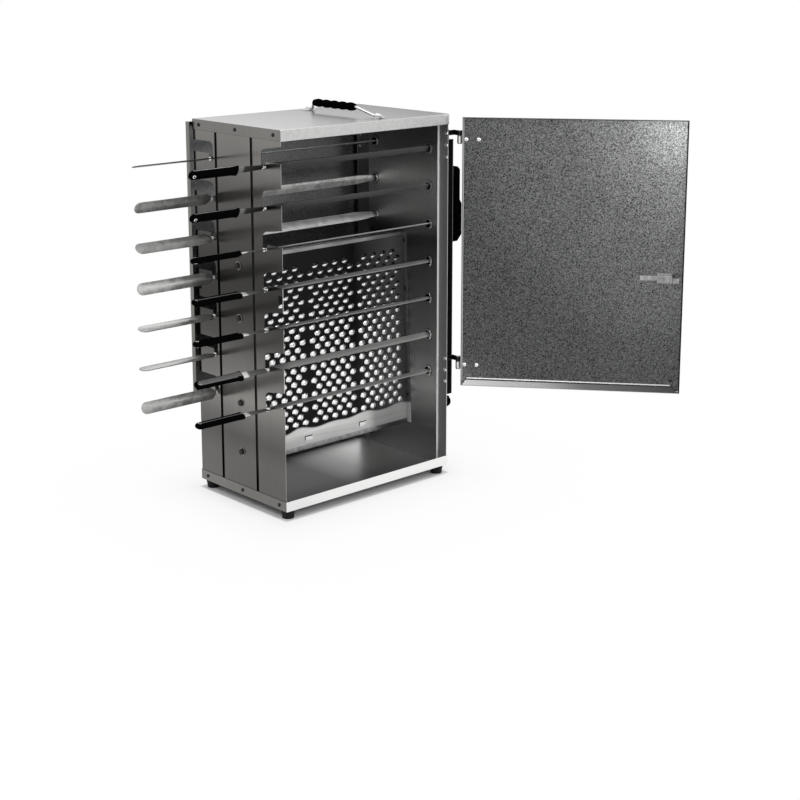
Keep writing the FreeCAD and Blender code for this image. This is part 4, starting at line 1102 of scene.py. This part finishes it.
def arc(centre, radius, start, stop, steps):
    points = []
    for k in range(steps + 1):
        angle = math.radians(start + (stop - start) * k / steps)
        points.append(Vector((centre[0] + radius * math.cos(angle),
                              centre[1] + radius * math.sin(angle), 0)))
    return points


def neck_start():
    """Left end of the necks, a little outside the front strip."""
    return node_box("left_front_strip")[0].x - NECK_BACK


def blade_side(half_blade, tip):
    """Places and half widths of a blade, from its neck to its tip in the right wall."""
    strip = node_box("left_front_strip")[0].x
    socket = node_box("right_liner")[0].x - 3.6
    wall = node_box("right_wall")[1].x
    return [(strip + 3.5, 4.0), (strip + 6.0, 4.8), (strip + 9.5, half_blade - 0.6),
            (strip + 12.0, half_blade), (socket - 45.0, half_blade),
            (socket - 20.0, (half_blade + tip) / 2 + 0.4), (socket, tip),
            (wall + 2.0, tip), (wall + 21.0, 1.1), (wall + 22.0, 0.5)]


def neck(shape):
    """Turned neck that lies in the notch."""
    shape.lathe(Vector((neck_start(), 0, 0)), X, [
        (0.0, 0.8), (0.15, 3.0), (0.5, 3.7), (1.0, 4.0), (6.0, 4.0), (6.5, 3.7), (6.85, 3.0),
        (7.0, 0.8)], 24, 1)


def mirrored_outline(upper):
    """Outline below and above the skewer's axis, from places and half widths."""
    return ([Vector((x, -w, 0)) for x, w in upper]
            + [Vector((x, w, 0)) for x, w in reversed(upper)])


def skewer_place(side, number, twist):
    centre = joint_point("%s_skewer_turn_%d" % (side, number))
    spot = Vector((0, centre.y, centre.z))
    return Matrix.Translation(spot) @ Matrix.Rotation(math.radians(twist), 4, "X")


def make_rear_skewer(number):
    shape = Shape()
    neck_left = neck_start()
    half = 11.25
    upper = [(neck_left - 12, half), (neck_left - 8.5, half - 0.9), (neck_left - 1.5, 4.6),
             (neck_left, 4.0)] + blade_side(10.0, 5.61)
    outline = arc((neck_left - 166.0 + half, 0), half, 90, 270, 16) + mirrored_outline(upper)
    flat_blade(shape, outline[::-1], 2.0, 0.4)
    neck(shape)
    shape.emit("rear_skewer_%d_blade" % number, [grip_steel(number), bright_steel()],
               "rear_spit_%d" % number, "skewer_steel", ["rear_skewer_%d" % number],
               skewer_place("rear", number, REAR_TWISTS[number - 1]))


def make_front_skewer(number):
    shape = Shape()
    neck_left = neck_start()
    right = neck_left - HANDLE_GAP
    upper = [(right - 60.0, 4.0), (right - 0.5, 4.0), (right - 0.5, 5.6), (right + 3.0, 6.2),
             (right + 20.0, 6.0), (neck_left - 3, 4.4), (neck_left, 4.0)]
    upper += blade_side(6.5, 5.61)
    flat_blade(shape, mirrored_outline(upper), 2.0, 0.35)
    neck(shape)
    # The first two front spits take the darker copy as painted reflection.
    steel = dark_skewer_steel() if number <= 2 else skewer_steel()
    shape.emit("front_skewer_%d_blade" % number, [steel, bright_steel()],
               "front_spit_%d" % number, "skewer_steel", ["front_skewer_%d" % number],
               skewer_place("front", number, FRONT_TWISTS[number - 1]))


def oval_ring(x, half_width, half_thickness):
    """Superellipse ring across the X axis."""
    power = 2 / 2.7
    return ring_of(28, lambda c, s: Vector((
        x, half_width * math.copysign(abs(c) ** power, c),
        half_thickness * math.copysign(abs(s) ** power, s))))


def make_skewer_handle(number):
    """Oval moulded handle with a flared throat and a riveted eyelet near its butt."""
    butt = neck_start() - HANDLE_GAP - HANDLE_LENGTH
    stations = [(0.0, 0.8, 0.8), (0.5, 3.4, 2.0), (1.8, 5.6, 3.6), (4.2, 7.4, 4.9),
                (8.0, 8.3, 5.4), (30.0, 8.5, 5.5), (82.0, 8.5, 5.5), (90.0, 8.6, 5.5),
                (95.0, 9.6, 5.5), (98.0, 10.4, 5.5), (100.0, 10.4, 5.4), (101.5, 9.6, 4.8),
                (101.9, 8.4, 4.2)]
    shape = Shape()
    grip = shape.ring_skin([oval_ring(butt + along, wide, thick)
                            for along, wide, thick in stations])
    place = skewer_place("front", number, FRONT_TWISTS[number - 1])
    # Painted highlight: faces along the upper curve take the fourth material, in a wide strip on
    # the sixth handle.
    above = place.to_3x3().inverted() @ Vector((0, -0.42, 0.91))
    line = 5.0 if number == 6 else 0.8
    for face in grip:
        face.normal_update()
        spot = face.calc_center_median()
        if (face.normal.dot(above) > 0.5 and abs(spot.dot(above.cross(X))) < line
                and spot.x > butt + 8.0):
            face.material_index = 3
    eye = Vector((butt + 8.5, 0, 0))
    for axis in (-Z, Z):
        collar = [(5.0, 1.7), (5.2, 3.3), (5.5, 3.2), (5.6, 2.6), (5.5, 1.8)]
        shape.lathe(eye, axis, collar, 20, 1, closed=True)
        # Dark disc in the eyelet's hole as painted shade.
        shape.lathe(eye, axis, [(5.15, 1.85), (5.3, 0.01)], 20, 2)
    shape.emit("front_handle_%d" % number,
               [black_plastic(), bright_steel(), port_dark(), painted_highlight_plastic()],
               "front_spit_%d" % number, "black_plastic",
               ["front_skewer_handle_%d" % number], place, 50.0)


# Doors

def door_place(side):
    """From the closed front door to the place of either door."""
    if side > 0:
        return MIRROR
    return turned_about(joint_point("front_door_hinge"), "Z", DOOR_OPEN)


def closed_door_box():
    """The rear door's box, mirrored to the closed front door."""
    low, high = node_box("rear_door")
    return Vector((low.x, -high.y, low.z)), Vector((high.x, -low.y, high.z))


def door_slot():
    """Slot for the latch's stud: its two ends along the door, its foot and its top."""
    low, high = node_box("rear_latch_pull")
    stud, middle = (low.x + high.x) / 2, (low.z + high.z) / 2
    return stud - 11.4, stud + 3.4, middle - 3.4, middle + 3.4


def door_ring(low, high, slot, inset, y):
    """Ring of a door's rectangle, with points in line with the latch slot's corners."""
    x0, x1 = low.x + inset, high.x - inset
    z0, z1 = low.z + inset, high.z - inset
    sx0, sx1, sz0, sz1 = slot
    return [Vector((x, y, z)) for x, z in (
        (x0, z0), (sx0, z0), (sx1, z0), (x1, z0), (x1, sz0), (x1, sz1), (x1, z1), (sx1, z1),
        (sx0, z1), (x0, z1), (x0, sz1), (x0, sz0))]


def door_section(low, high):
    """Insets and depths of the rings, from the inner face round the rim to the outer."""
    inner, outer = [], []
    for k in range(5):
        angle = math.radians(90 * k / 4)
        across, along = 1 - math.sin(angle), 1 - math.cos(angle)
        outer.append((DOOR_BEND * across, low.y + DOOR_BEND * along))
        inner.append((DOOR_BEND - (DOOR_BEND - DOOR_SHEET) * math.sin(angle),
                      low.y + DOOR_BEND - (DOOR_BEND - DOOR_SHEET) * math.cos(angle)))
    return inner + [(DOOR_SHEET, high.y - 0.2), (DOOR_SHEET - 0.2, high.y), (0.2, high.y),
                    (0.0, high.y - 0.2)] + outer[::-1]


def slotted_faces(bm, low, slot, first, last):
    """The inner and the outer face round the slot, and the slot's own four walls."""
    hole = []
    for row, y in ((first, low.y + DOOR_SHEET), (last, low.y)):
        a, b, c, d = [bm.verts.new((x, y, z)) for x, z in (
            (slot[0], slot[2]), (slot[1], slot[2]), (slot[1], slot[3]), (slot[0], slot[3]))]
        hole.append((a, b, c, d))
        for corners in ((row[0], row[1], a, row[11]), (row[1], row[2], b, a),
                        (row[2], row[3], row[4], b), (b, row[4], row[5], c),
                        (c, row[5], row[6], row[7]), (d, c, row[7], row[8]),
                        (row[10], d, row[8], row[9]), (row[11], a, d, row[10])):
            bm.faces.new(corners)
    for k in range(4):
        n = (k + 1) % 4
        bm.faces.new((hole[0][k], hole[0][n], hole[1][n], hole[1][k]))


def drip_fold(shape, low, high):
    """Sloping fold at the foot of a door, with a band in painted shade below a round ridge in
    painted highlight.
    """
    top, foot = low.y + DOOR_SHEET - 0.2, high.y - 1.2
    fold = [Vector((low.x + 3.5, foot, low.z + 0.5)), Vector((high.x - 3.5, foot, low.z + 0.5)),
            Vector((high.x - 12.0, top, low.z + 13.5)), Vector((low.x + 20.0, top, low.z + 13.5))]
    crease, ridge = [[fold[0].lerp(fold[3], share), fold[1].lerp(fold[2], share)]
                     for share in (0.66, 0.84)]
    for outline, slot in (([fold[0], fold[1], crease[1], crease[0]], 2),
                          ([crease[0], crease[1], ridge[1], ridge[0]], 5),
                          ([ridge[0], ridge[1], fold[2], fold[3]], 3)):
        shape.prism(outline, Vector((0, 0, DOOR_SHEET)), slot)
    shape.sweep([ridge[0] + Vector((1.5, 0.6, 1.7)), ridge[1] + Vector((-1.5, 0.6, 1.7))],
                1.0, 12, 3)


def make_door(side):
    """Folded tray with rounded bends, a slot for the latch's stud and a drip fold."""
    low, high = closed_door_box()
    slot = door_slot()
    shape = Shape()
    bm = shape.bm
    rows = [[bm.verts.new(p) for p in door_ring(low, high, slot, inset, y)]
            for inset, y in door_section(low, high)]
    for before, after in zip(rows, rows[1:]):
        for k in range(12):
            n = (k + 1) % 12
            face = bm.faces.new((before[k], before[n], after[n], after[k]))
            # On the front door the rims of the top and of the low X side take painted shade, the
            # others painted light.
            face.material_index = 5 if k > 5 and side < 0 else 1
    slotted_faces(bm, low, slot, rows[0], rows[-1])
    drip_fold(shape, low, high)
    spot = Vector((low.x + 17.0, low.y + DOOR_SHEET, low.z + 23.0))
    shape.lathe(spot, Y, [(0.0, 2.9), (0.5, 2.6), (0.8, 1.7), (0.3, 1.2), (0.2, 0.01)], 20, 4)
    name = side_name(side)
    face, fold = door_steel(), door_fold_steel()
    if side > 0:
        face, fold = rear_door_steel(), end_flange_steel()
    shape.emit(name + "_door_sheet",
               [face, fold, hem_steel(), bright_steel(), screw_steel(), dark_fold_steel()],
               name + "_door_set", "coated_sheet", [name + "_door"], door_place(side), 30.0)


def domed_rivet(shape, seat, axis, radius, rise):
    """Rivet head whose underside takes the second material as painted shade."""
    profile = [(0.0, radius), (rise * 0.3, radius * 0.97), (rise * 0.65, radius * 0.8),
               (rise * 0.92, radius * 0.45), (rise, 0.01)]
    for face in shape.lathe(seat, axis, profile, 20):
        face.normal_update()
        if face.normal.z < -0.35:
            face.material_index = 1


def make_door_leaves(side):
    low, high = closed_door_box()
    hinge = joint_point("rear_door_hinge")
    hx, hy = hinge.x, -hinge.y
    shape = Shape()
    for z in HINGE_HEIGHTS:
        strap = Shape()
        strap.prism([Vector((x, low.y - LEAF_SHEET, z + up)) for x, up in (
            (high.x - 36, -7), (high.x - 40, -4), (high.x - 40, 4), (high.x - 36, 7), (hx, 7),
            (hx, -7))], Vector((0, LEAF_SHEET, 0)), 1)
        strap.bevel(0.35)
        shape.join(strap)
        shape.lathe(Vector((hx, hy, z - 7)), Z,
                    [(0.0, 2.6), (0.0, 4.6), (0.4, 5.0), (13.6, 5.0), (14.0, 4.6), (14.0, 2.6)],
                    28, closed=True)
        for x in (high.x - 6.2, high.x - 30.2):
            domed_rivet(shape, Vector((x, low.y + 1.0, z)), Y, 4.2, 1.8)
            domed_rivet(shape, Vector((x, low.y - LEAF_SHEET, z)), -Y, 3.4, 1.0)
    name = side_name(side)
    shape.emit(name + "_hinge_leaves", [bright_steel(), screw_steel()], name + "_door_set",
               "bright_fittings", [name + "_door_leaves"], door_place(side))


def make_hinge_brackets():
    """Wall plates, arms, eyes and pins of both hinges at either door."""
    hinge = joint_point("rear_door_hinge")
    hx, hy = hinge.x, -hinge.y
    wall = node_box("right_wall")[1].x
    front = node_box("right_wall")[0].y
    both = Shape()
    for mirror in (1, -1):
        shape = Shape()
        for z in HINGE_HEIGHTS:
            arm = z + 7.3
            mid = z - 12.0
            metal = Shape()
            for low, high in (
                    ((wall, front, mid - 31), (wall + LEAF_SHEET, front + 9.5, mid + 31)),
                    ((wall + 1.2, front, arm), (hx + 0.8, front + LEAF_SHEET, arm + 10)),
                    ((hx - 0.8, hy + 3.6, arm), (hx + 0.8, front + 1.2, arm + 10))):
                metal.block(low, high, 1)
            metal.bevel(0.4)
            shape.join(metal)
            shape.lathe(Vector((hx, hy, arm)), Z, [
                (0.0, 2.5), (0.0, 4.6), (0.4, 5.0), (9.6, 5.0), (10.0, 4.6), (10.0, 2.5)],
                28, 1, closed=True)
            shape.lathe(Vector((hx, hy, z + 17.3)), -Z, [
                (0.0, 2.4), (24.6, 2.4), (24.6, 4.2), (25.0, 4.9), (25.8, 4.4), (26.2, 3.0),
                (26.2, 0.01)])
            for up in (-23.0, 0.0, 23.0):
                spot = Vector((wall - 1.0, front + 4.75, mid + up))
                domed_rivet(shape, spot, -X, 4.2, 1.8)
                domed_rivet(shape, Vector((wall + LEAF_SHEET, spot.y, spot.z)), X, 3.4, 1.2)
        if mirror < 0:
            bmesh.ops.transform(shape.bm, matrix=MIRROR, verts=shape.bm.verts)
        both.join(shape)
    both.emit("hinge_brackets_and_pins", [bright_steel(), screw_steel()], "cabinet",
              "bright_fittings", ["hinge_brackets"])


def make_latch(side):
    """Bridge on the door and the bolt that slides under it."""
    name = side_name(side)
    for part, form, ride in (("keeper", "bridge", "door"), ("bolt", "slide", "latch")):
        # Top and bottom faces take the dark screw steel as painted shade.
        refined("%s_latch_%s" % (name, part), "%s_latch_%s" % (name, form),
                [latch_steel(), screw_steel()], "bright_fittings", detail().edge_break / MM,
                pick=lambda normal, middle: int(abs(normal.z) > SQUARE_ON),
                body="%s_%s_set" % (name, ride))


def make_latch_pull(side):
    """Black pull with a waist and a dished face."""
    low, high = node_box("rear_latch_pull")
    cx, cz = (low.x + high.x) / 2, (low.z + high.z) / 2
    seat = Vector((cx, -low.y, cz))
    shape = Shape()
    profile = [(0.0, 0.01), (0.0, 6.6), (0.8, 7.2), (3.0, 6.4), (6.0, 6.3), (8.5, 8.2),
               (10.2, 9.0), (12.2, 8.9), (13.4, 7.8), (13.9, 6.0), (13.5, 3.0), (13.4, 0.01)]
    shape.lathe(seat, -Y, profile, 36)
    name = side_name(side)
    shape.emit(name + "_latch_knob", [black_plastic()], name + "_latch_set", "black_plastic",
               [name + "_latch_pull"], door_place(side), 40.0)


# Lid handle

def bail_place():
    return turned_about(joint_point("lid_handle_swing"), "Y", -54.0)


def round_path(points, radius):
    """Straight runs joined by arcs."""
    steps = 6
    path = [points[0]]
    for before, corner, after in zip(points, points[1:], points[2:]):
        into = (before - corner).normalized()
        out = (after - corner).normalized()
        half = into.angle(out) / 2
        reach = radius / math.tan(half)
        centre = corner + (into + out).normalized() * (radius / math.sin(half))
        a = corner + into * reach - centre
        b = corner + out * reach - centre
        turn = a.rotation_difference(b)
        for k in range(steps + 1):
            part = Matrix.Rotation(turn.angle * k / steps, 3, turn.axis)
            path.append(centre + part @ a)
    path.append(points[-1])
    return path


def make_lid_handle():
    axis = joint_point("lid_handle_swing")
    x, z = axis.x, axis.z
    half, foot, run, rise = 110.0, 20.0, 63.0, 26.0
    path = round_path([Vector((x, y, z + up)) for y, up in (
        (-half, 0.0), (-half + foot, 0.0), (-run, rise), (run, rise), (half - foot, 0.0),
        (half, 0.0))], 9.0)
    rod = Shape()
    rod.sweep(path, 2.5, 18)
    rod.emit("bent_handle_rod", [bright_steel()], "lid_handle", "bright_fittings",
             ["handle_rod"], bail_place())
    make_lid_grip(Vector((x, 0, z + rise)))
    refined("handle_saddles", "handle_saddle_straps", bright_steel(), "bright_fittings", 0.4,
            angle=40.0)


def make_lid_grip(middle):
    """Grip with five soft lumps round the rod."""
    length = 118.0
    lumps = 5
    steps = 60
    profile = [(-length / 2, 2.6), (-length / 2, 5.4)]
    for k in range(steps + 1):
        t = k / steps
        swell = 0.5 - 0.5 * math.cos(2 * math.pi * (t * lumps + 0.02))
        profile.append((-length / 2 + 0.6 + (length - 1.2) * t, 6.1 + 1.8 * swell ** 0.6))
    profile += [(length / 2, 5.4), (length / 2, 2.6)]
    grip = Shape()
    grip.lathe(middle, Y, profile, 36)
    grip.emit("ribbed_lid_grip", [black_plastic()], "lid_handle", "black_plastic",
              ["handle_grip"], bail_place(), 50.0)


# Right side

def make_side_grip():
    """Moulded bow grip with softened corners."""
    refined("side_grip", "bow_side_grip", black_plastic(), "black_plastic", 1.2, 3, 25.0)


def make_gas_side():
    """Knob with a fluted skirt, and rounded gas fittings."""
    centre = joint_point("gas_knob_turn")
    seat = Vector((node_box("gas_knob")[0].x, centre.y, centre.z))
    shape = Shape()
    rings = []
    for along, radius, flute in ((0.0, 12.4, 0.0), (0.6, 13.0, 0.0), (2.4, 13.0, 0.0),
                                 (3.2, 12.4, 0.0), (4.0, 12.0, 0.5), (10.2, 11.2, 0.5),
                                 (11.6, 10.6, 0.2), (12.0, 9.6, 0.0)):
        ring = []
        for k in range(72):
            angle = 2 * math.pi * k / 72
            r = radius - flute * (0.5 + 0.5 * math.cos(angle * 18))
            ring.append(seat + Vector((along, r * math.cos(angle), r * math.sin(angle))))
        rings.append(ring)
    shape.ring_skin(rings)
    rib = Shape()
    rib.block(seat + Vector((11.0, -2.5, -9.4)), seat + Vector((16.0, 2.5, 9.4)))
    rib.bevel(1.2, 3)
    shape.join(rib)
    shape.block(seat + Vector((15.6, -0.5, 3.0)), seat + Vector((16.0, 0.5, 8.4)), 1)
    shape.emit("gas_tap_knob", [black_plastic(), lid_steel()], "gas_tap", "black_plastic",
               ["gas_knob"], smooth=35.0)
    cut = detail().edge_break / MM
    for node, material, slot in (("gas_valve", brass(), "brass"), ("gas_inlet", brass(), "brass"),
                                 ("supply_pipe", brass(), "brass"),
                                 ("mixing_cap", bright_steel(), "brushed_steel")):
        refined(node, node + "_finished", material, slot, cut, angle=40.0)
    repaint("valve_stem", bright_steel())


# Studio

def camera_sees(tree):
    """One where a camera, mirror or glass ray looks, else nothing."""
    rays = tree.nodes.new("ShaderNodeLightPath").outputs
    seen = added(tree, rays["Is Camera Ray"], rays["Is Glossy Ray"],
                 rays["Is Transmission Ray"])
    return math_node(tree, "MINIMUM", seen, 1.0)


def stage_object(name, data):
    holder = bpy.data.objects.new(name, data)
    bpy.context.scene.collection.objects.link(holder)
    return holder


def floor_material():
    """White to the camera away from the grill, and a plain lit floor close to it."""
    material = bpy.data.materials.new("studio_floor")
    material.use_nodes = True
    tree = material.node_tree
    for label, value in (("Base Color", (0.92, 0.92, 0.92, 1)), ("Roughness", 0.9),
                         ("Specular IOR Level", 0.1), ("Emission Color", (1, 1, 1, 1))):
        set_shader(material, label, value)
    place = object_place(tree)
    high = node_box("bottom_pan")[1]
    for operation, value in (("ABSOLUTE", None), ("SUBTRACT", (high.x * MM, high.y * MM, 0)),
                             ("MAXIMUM", (0, 0, 0)), ("LENGTH", None)):
        inputs = {0: place, 1: value} if value else {0: place}
        step = add_node(tree, "VectorMath", inputs, operation=operation)
        place = step.outputs["Value" if operation == "LENGTH" else "Vector"]
    spread = add_node(tree, "ValToRGB", {"Fac": place})
    keys = spread.color_ramp.elements
    keys[0].color = tone(BLACK)
    keys[1].color = tone(WHITE)
    for at, level in ((0.004, 0.70), (0.04, 0.86), (0.12, 0.96), (0.4, 1.0)):
        keys.new(at).color = tone(times(WHITE, level))
    share = product(tree, camera_sees(tree), spread.outputs["Color"])
    white = add_node(tree, "Emission", {"Strength": 1.0})
    mix = add_node(tree, "MixShader", {0: share, 1: tree.nodes["Principled BSDF"].outputs[0],
                                       2: white.outputs[0]})
    feed(tree, mix.outputs[0], tree.nodes["Material Output"].inputs["Surface"])
    return material


def make_world():
    """Even light, which is full white only where the camera looks."""
    world = bpy.data.worlds.new("studio_world")
    bpy.context.scene.world = world
    world.use_nodes = True
    tree = world.node_tree
    sky = tree.nodes["Background"].inputs
    feed(tree, (1, 1, 1, 1), sky["Color"])
    level = added(tree, product(tree, camera_sees(tree), 1.0 - SKY_LIGHT), SKY_LIGHT)
    feed(tree, level, sky["Strength"])


def make_lamps():
    for name, place, size, power in (("key_lamp", (-2.6, -1.6, 3.2), 1.6, 38.0),
                                     ("front_lamp", (0.6, -3.4, 1.9), 1.4, 30.0),
                                     ("back_lamp", (1.8, 2.6, 2.8), 1.6, 18.0)):
        lamp = bpy.data.lights.new(name, "AREA")
        lamp.shape = "SQUARE"
        lamp.size = size
        lamp.energy = power
        holder = stage_object(name, lamp)
        holder.location = place
        aim = LAMP_TARGET - Vector(place)
        holder.rotation_euler = aim.to_track_quat("-Z", "Y").to_euler()


def make_camera():
    """The photo's view, as it was fitted to the grill's straight edges."""
    camera = bpy.data.cameras.new("photo_camera")
    camera.sensor_width = 36.0
    camera.lens = 71.41
    camera.shift_x = -0.0023
    camera.shift_y = -0.1358
    camera.clip_end = 100.0
    holder = stage_object("photo_camera", camera)
    holder.location = (-1.9103, -2.2969, 1.0311)
    look = Vector((0.6615, 0.7190, -0.2133))
    holder.rotation_mode = "QUATERNION"
    holder.rotation_quaternion = look.to_track_quat("-Z", "Y")
    bpy.context.scene.camera = holder


def make_stage():
    bpy.context.scene.view_settings.view_transform = "Standard"
    mesh = bpy.data.meshes.new("studio_floor")
    corners = [(x * FLOOR_REACH, y * FLOOR_REACH, 0) for x, y in SQUARE]
    mesh.from_pydata(corners, [], [(0, 1, 2, 3)])
    floor = stage_object("studio_floor", mesh)
    floor.data.materials.append(floor_material())
    make_world()
    make_lamps()
    make_camera()


# Operators

class GRILL_OT_cabinet(bpy.types.Operator):
    """Make the lid, pan, side strips, walls and guard"""
    bl_idname = "grill.cabinet"
    bl_label = "Cabinet sheet"

    def execute(self, context):
        make_cabinet()
        return {"FINISHED"}


class GRILL_OT_small_parts(bpy.types.Operator):
    """Make the feet, screws, bolts and socket eyelets"""
    bl_idname = "grill.small_parts"
    bl_label = "Feet, screws and eyelets"

    def execute(self, context):
        make_feet()
        make_screws()
        make_burner_fixings()
        make_eyelets()
        return {"FINISHED"}


class GRILL_OT_burner(bpy.types.Operator):
    """Make the domed burner plates and what closes the wedge"""
    bl_idname = "grill.burner"
    bl_label = "Burner"

    def execute(self, context):
        make_burner_plate(-1)
        make_burner_plate(1)
        make_burner_rest()
        return {"FINISHED"}


class GRILL_OT_skewers(bpy.types.Operator):
    """Make all skewers and their handles"""
    bl_idname = "grill.skewers"
    bl_label = "Skewers"

    def execute(self, context):
        for number in range(1, SKEWERS + 1):
            make_rear_skewer(number)
            make_front_skewer(number)
            make_skewer_handle(number)
        return {"FINISHED"}


class GRILL_OT_doors(bpy.types.Operator):
    """Make both doors with their hinges and latches"""
    bl_idname = "grill.doors"
    bl_label = "Doors"

    def execute(self, context):
        for side in (-1, 1):
            make_door(side)
            make_door_leaves(side)
            make_latch(side)
            make_latch_pull(side)
        make_hinge_brackets()
        return {"FINISHED"}


class GRILL_OT_lid_handle(bpy.types.Operator):
    """Make the swinging lid handle"""
    bl_idname = "grill.lid_handle"
    bl_label = "Lid handle"

    def execute(self, context):
        make_lid_handle()
        return {"FINISHED"}


class GRILL_OT_right_side(bpy.types.Operator):
    """Make the side grip, the knob and the gas fittings"""
    bl_idname = "grill.right_side"
    bl_label = "Grip and gas side"

    def execute(self, context):
        make_side_grip()
        make_gas_side()
        return {"FINISHED"}


class GRILL_OT_stage(bpy.types.Operator):
    """Make the floor, the lamps, the world and the camera"""
    bl_idname = "grill.stage"
    bl_label = "Studio"

    def execute(self, context):
        make_stage()
        return {"FINISHED"}


OPERATORS = (GRILL_OT_stage, GRILL_OT_cabinet, GRILL_OT_small_parts, GRILL_OT_burner,
             GRILL_OT_skewers, GRILL_OT_doors, GRILL_OT_lid_handle, GRILL_OT_right_side)


class GRILL_PT_panel(bpy.types.Panel):
    """Makers and settings of the grill"""
    bl_idname = "GRILL_PT_panel"
    bl_label = "Skewer grill"
    bl_space_type = "VIEW_3D"
    bl_region_type = "UI"
    bl_category = "Grill"

    def draw(self, context):
        layout = self.layout
        for operator in OPERATORS:
            layout.operator(operator.bl_idname)
        for group in (context.scene.grill_finish, context.scene.grill_detail):
            for name in group.__class__.__annotations__:
                layout.prop(group, name)


CLASSES = (GrillFinish, GrillDetail) + OPERATORS + (GRILL_PT_panel,)


def register():
    for cls in CLASSES:
        bpy.utils.register_class(cls)
    bpy.types.Scene.grill_finish = bpy.props.PointerProperty(type=GrillFinish)
    bpy.types.Scene.grill_detail = bpy.props.PointerProperty(type=GrillDetail)


def unregister():
    del bpy.types.Scene.grill_detail
    del bpy.types.Scene.grill_finish
    for cls in reversed(CLASSES):
        bpy.utils.unregister_class(cls)


def main():
    register()
    for operator in OPERATORS:
        getattr(bpy.ops.grill, operator.bl_idname.split(".")[1])()


if __name__ == "__main__":
    main()
